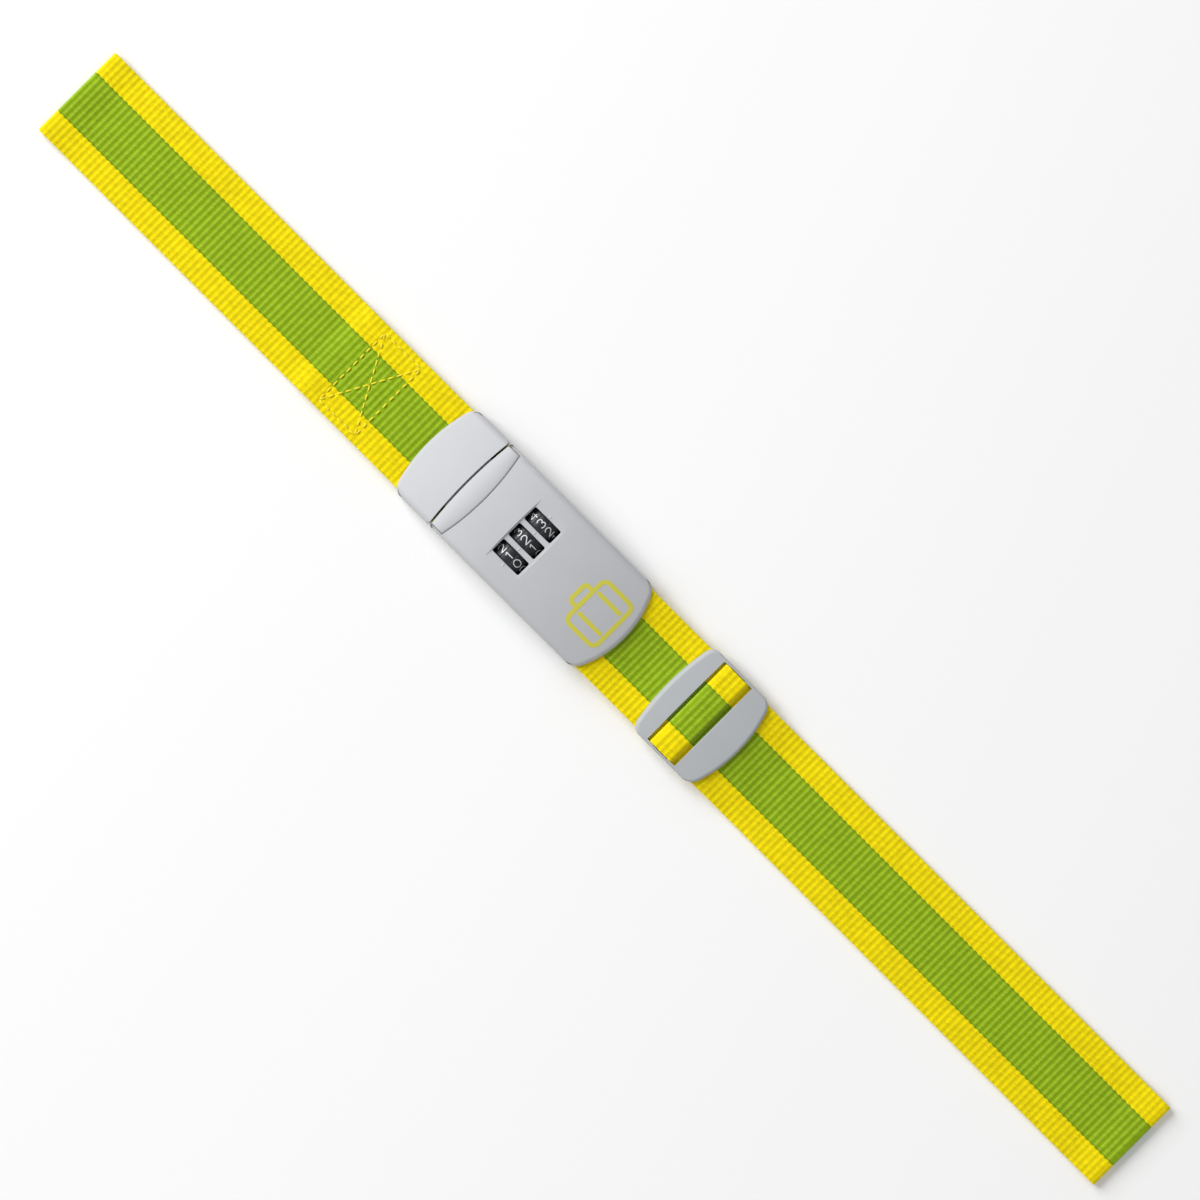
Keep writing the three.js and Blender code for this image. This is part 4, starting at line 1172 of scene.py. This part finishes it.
def bending_copy(name, node, cuts=()):
    """A CAD node's own shape as a new piece, divided across X at the cuts so that it can bend there."""
    source = frame["nodes"][node]
    mesh = source.data.copy()
    mesh.transform(source.matrix_world)
    divided = bmesh.new()
    divided.from_mesh(mesh)
    for x in cuts:
        parts = divided.verts[:] + divided.edges[:] + divided.faces[:]
        bmesh.ops.bisect_plane(divided, geom=parts, plane_co=(x * MM, 0, 0), plane_no=(1, 0, 0))
    divided.to_mesh(mesh)
    divided.free()
    obj = bpy.data.objects.new(name, mesh)
    bpy.context.scene.collection.objects.link(obj)
    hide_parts(node)
    return obj


def place_springs(looks):
    """The sprung latch and the button's two coils, which give way when the button is pressed."""
    near, far = LATCH_BEND
    latch = bending_copy("latch_plate", "latch_spring", np.linspace(near, far, 14))
    dress(latch, looks["dark_steel"])
    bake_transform(latch)
    for side in ("left", "right"):
        node = f"button_spring_{side}"
        coil = dress(bending_copy(f"button_coil_{side}", node), looks["steel"])
        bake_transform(coil)


def place_webbing(looks):
    """The one strip of webbing, in the four lengths that its joints need."""
    made, lengths = {}, {}
    ribs = 0
    for name, line, seams in (
        ("webbing_tongue_end", tongue_line(), SEAMS),
        ("webbing_back", floor_line(), ()),
        ("webbing_right", right_line(), ()),
        ("webbing_slider_end", slider_line(), ()),
    ):
        obj, length, count = webbing(name, line, ribs, seams)
        ribs += count
        dress(obj, looks["webbing"])
        made[name] = obj
        lengths[name] = length
    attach(made["webbing_back"], "lock")
    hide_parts("webbing_floor", "webbing_left_fold", "webbing_right_fold")
    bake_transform(made["webbing_tongue_end"])
    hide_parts("webbing_left_run", "webbing_tongue_loop")
    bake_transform(made["webbing_right"])
    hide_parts("webbing_right_run")
    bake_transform(made["webbing_slider_end"])
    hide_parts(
        "webbing_slider_hump",
        "webbing_slider_run",
        "webbing_lock_loop",
        "webbing_return_run",
        "webbing_slider_loop",
    )
    sewing = stitches("tongue_stitching", THIRD_MID + WEB_THICK / 2 - 0.08)
    dress(sewing, looks["thread"])
    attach(sewing, "tongue")


# Steel seen only through the gaps, dressed near-black: painted shade, so that it shows no bright glint
# there
HIDDEN_STEEL = ("dial_shaft", "detent_spring")


def dress_frame(looks):
    """The CAD nodes that stay get the finish of their slot; the hidden steel gets near-black steel, painted
    shade in the gaps.
    """
    slots = {s["node"]: s["material_slot"] for s in frame["record"]["subparts"]}
    for name, obj in frame["nodes"].items():
        look = looks["dark_steel"] if name in HIDDEN_STEEL else looks.get(slots[name])
        if look is not None:
            obj.data.materials.clear()
            obj.data.materials.append(look)


def area_light(name, place, size, power):
    """A square soft light that shines at the middle of the strap."""
    lamp = bpy.data.lights.new(name, "AREA")
    lamp.size = size
    lamp.energy = power
    obj = bpy.data.objects.new(name, lamp)
    bpy.context.scene.collection.objects.link(obj)
    obj.location = place
    obj.rotation_euler = (-Vector(place)).to_track_quat("-Z", "Y").to_euler()


def studio(looks):
    """A pale floor, soft light from the tongue's end and a straight-down camera turned 45 degrees."""
    corners = [(-1, -1, 0), (1, -1, 0), (1, 1, 0), (-1, 1, 0)]
    floor = new_object("floor", np.array(corners) * FLOOR_HALF / MM, [[0, 1, 2, 3]])
    floor.location.z = -0.0002
    dress(floor, looks["floor"])
    scene = bpy.context.scene
    world = bpy.data.worlds.new("studio")
    world.use_nodes = True
    sky = world.node_tree.nodes["Background"]
    sky.inputs["Color"].default_value = (1, 1, 1, 1)
    sky.inputs["Strength"].default_value = SKY_STRENGTH
    scene.world = world
    area_light("key", *KEY_LIGHT)
    area_light("fill", *FILL_LIGHT)
    scene.view_settings.view_transform = "Standard"
    camera = bpy.data.cameras.new("camera")
    camera.lens = LENS
    camera.sensor_width = SENSOR
    camera.clip_end = 100
    obj = bpy.data.objects.new("camera", camera)
    scene.collection.objects.link(obj)
    right, up = Vector((1, 1, 0)).normalized(), Vector((-1, 1, 0)).normalized()
    obj.rotation_euler = Matrix((right, up, Vector((0, 0, 1)))).transposed().to_euler()
    height = Vector((0, 0, VIEW_WIDTH * LENS / SENSOR))
    obj.location = right * VIEW_MIDDLE[0] + up * VIEW_MIDDLE[1] + height
    scene.camera = obj


def main():
    looks = {
        "webbing": webbing_look(),
        "silver_plastic": plastic_look("silver_plastic", (0.5, 0.51, 0.53), 0.58),
        "grey_plastic": plastic_look("grey_plastic", (0.42, 0.44, 0.455), 0.54, 0.000014),
        "black_plastic": plastic_look("black_plastic", (0.012, 0.014, 0.018), 0.42, 0.00001, 0.02),
        # Near-black plastic for the inner pieces: painted shade, so that the gaps into the lock read deep
        # dark
        "dark_plastic": plastic_look("dark_plastic", (0.1, 0.1, 0.11), 0.5),
        "steel": steel_look("steel", (0.62, 0.62, 0.64)),
        "thread": thread_look(),
        "print": print_look("print", (0.62, 0.58, 0.06)),
        "white_print": print_look("white_print", (0.66, 0.68, 0.68)),
        # Near-black steel for the steel inside the lock: painted shade in the gaps
        "dark_steel": steel_look("dark_steel", (0.12, 0.12, 0.125)),
        "floor": floor_look(),
    }
    dress_frame(looks)
    place_hard_pieces(looks)
    place_springs(looks)
    place_webbing(looks)
    studio(looks)


main()
bpy.context.view_layer.update()
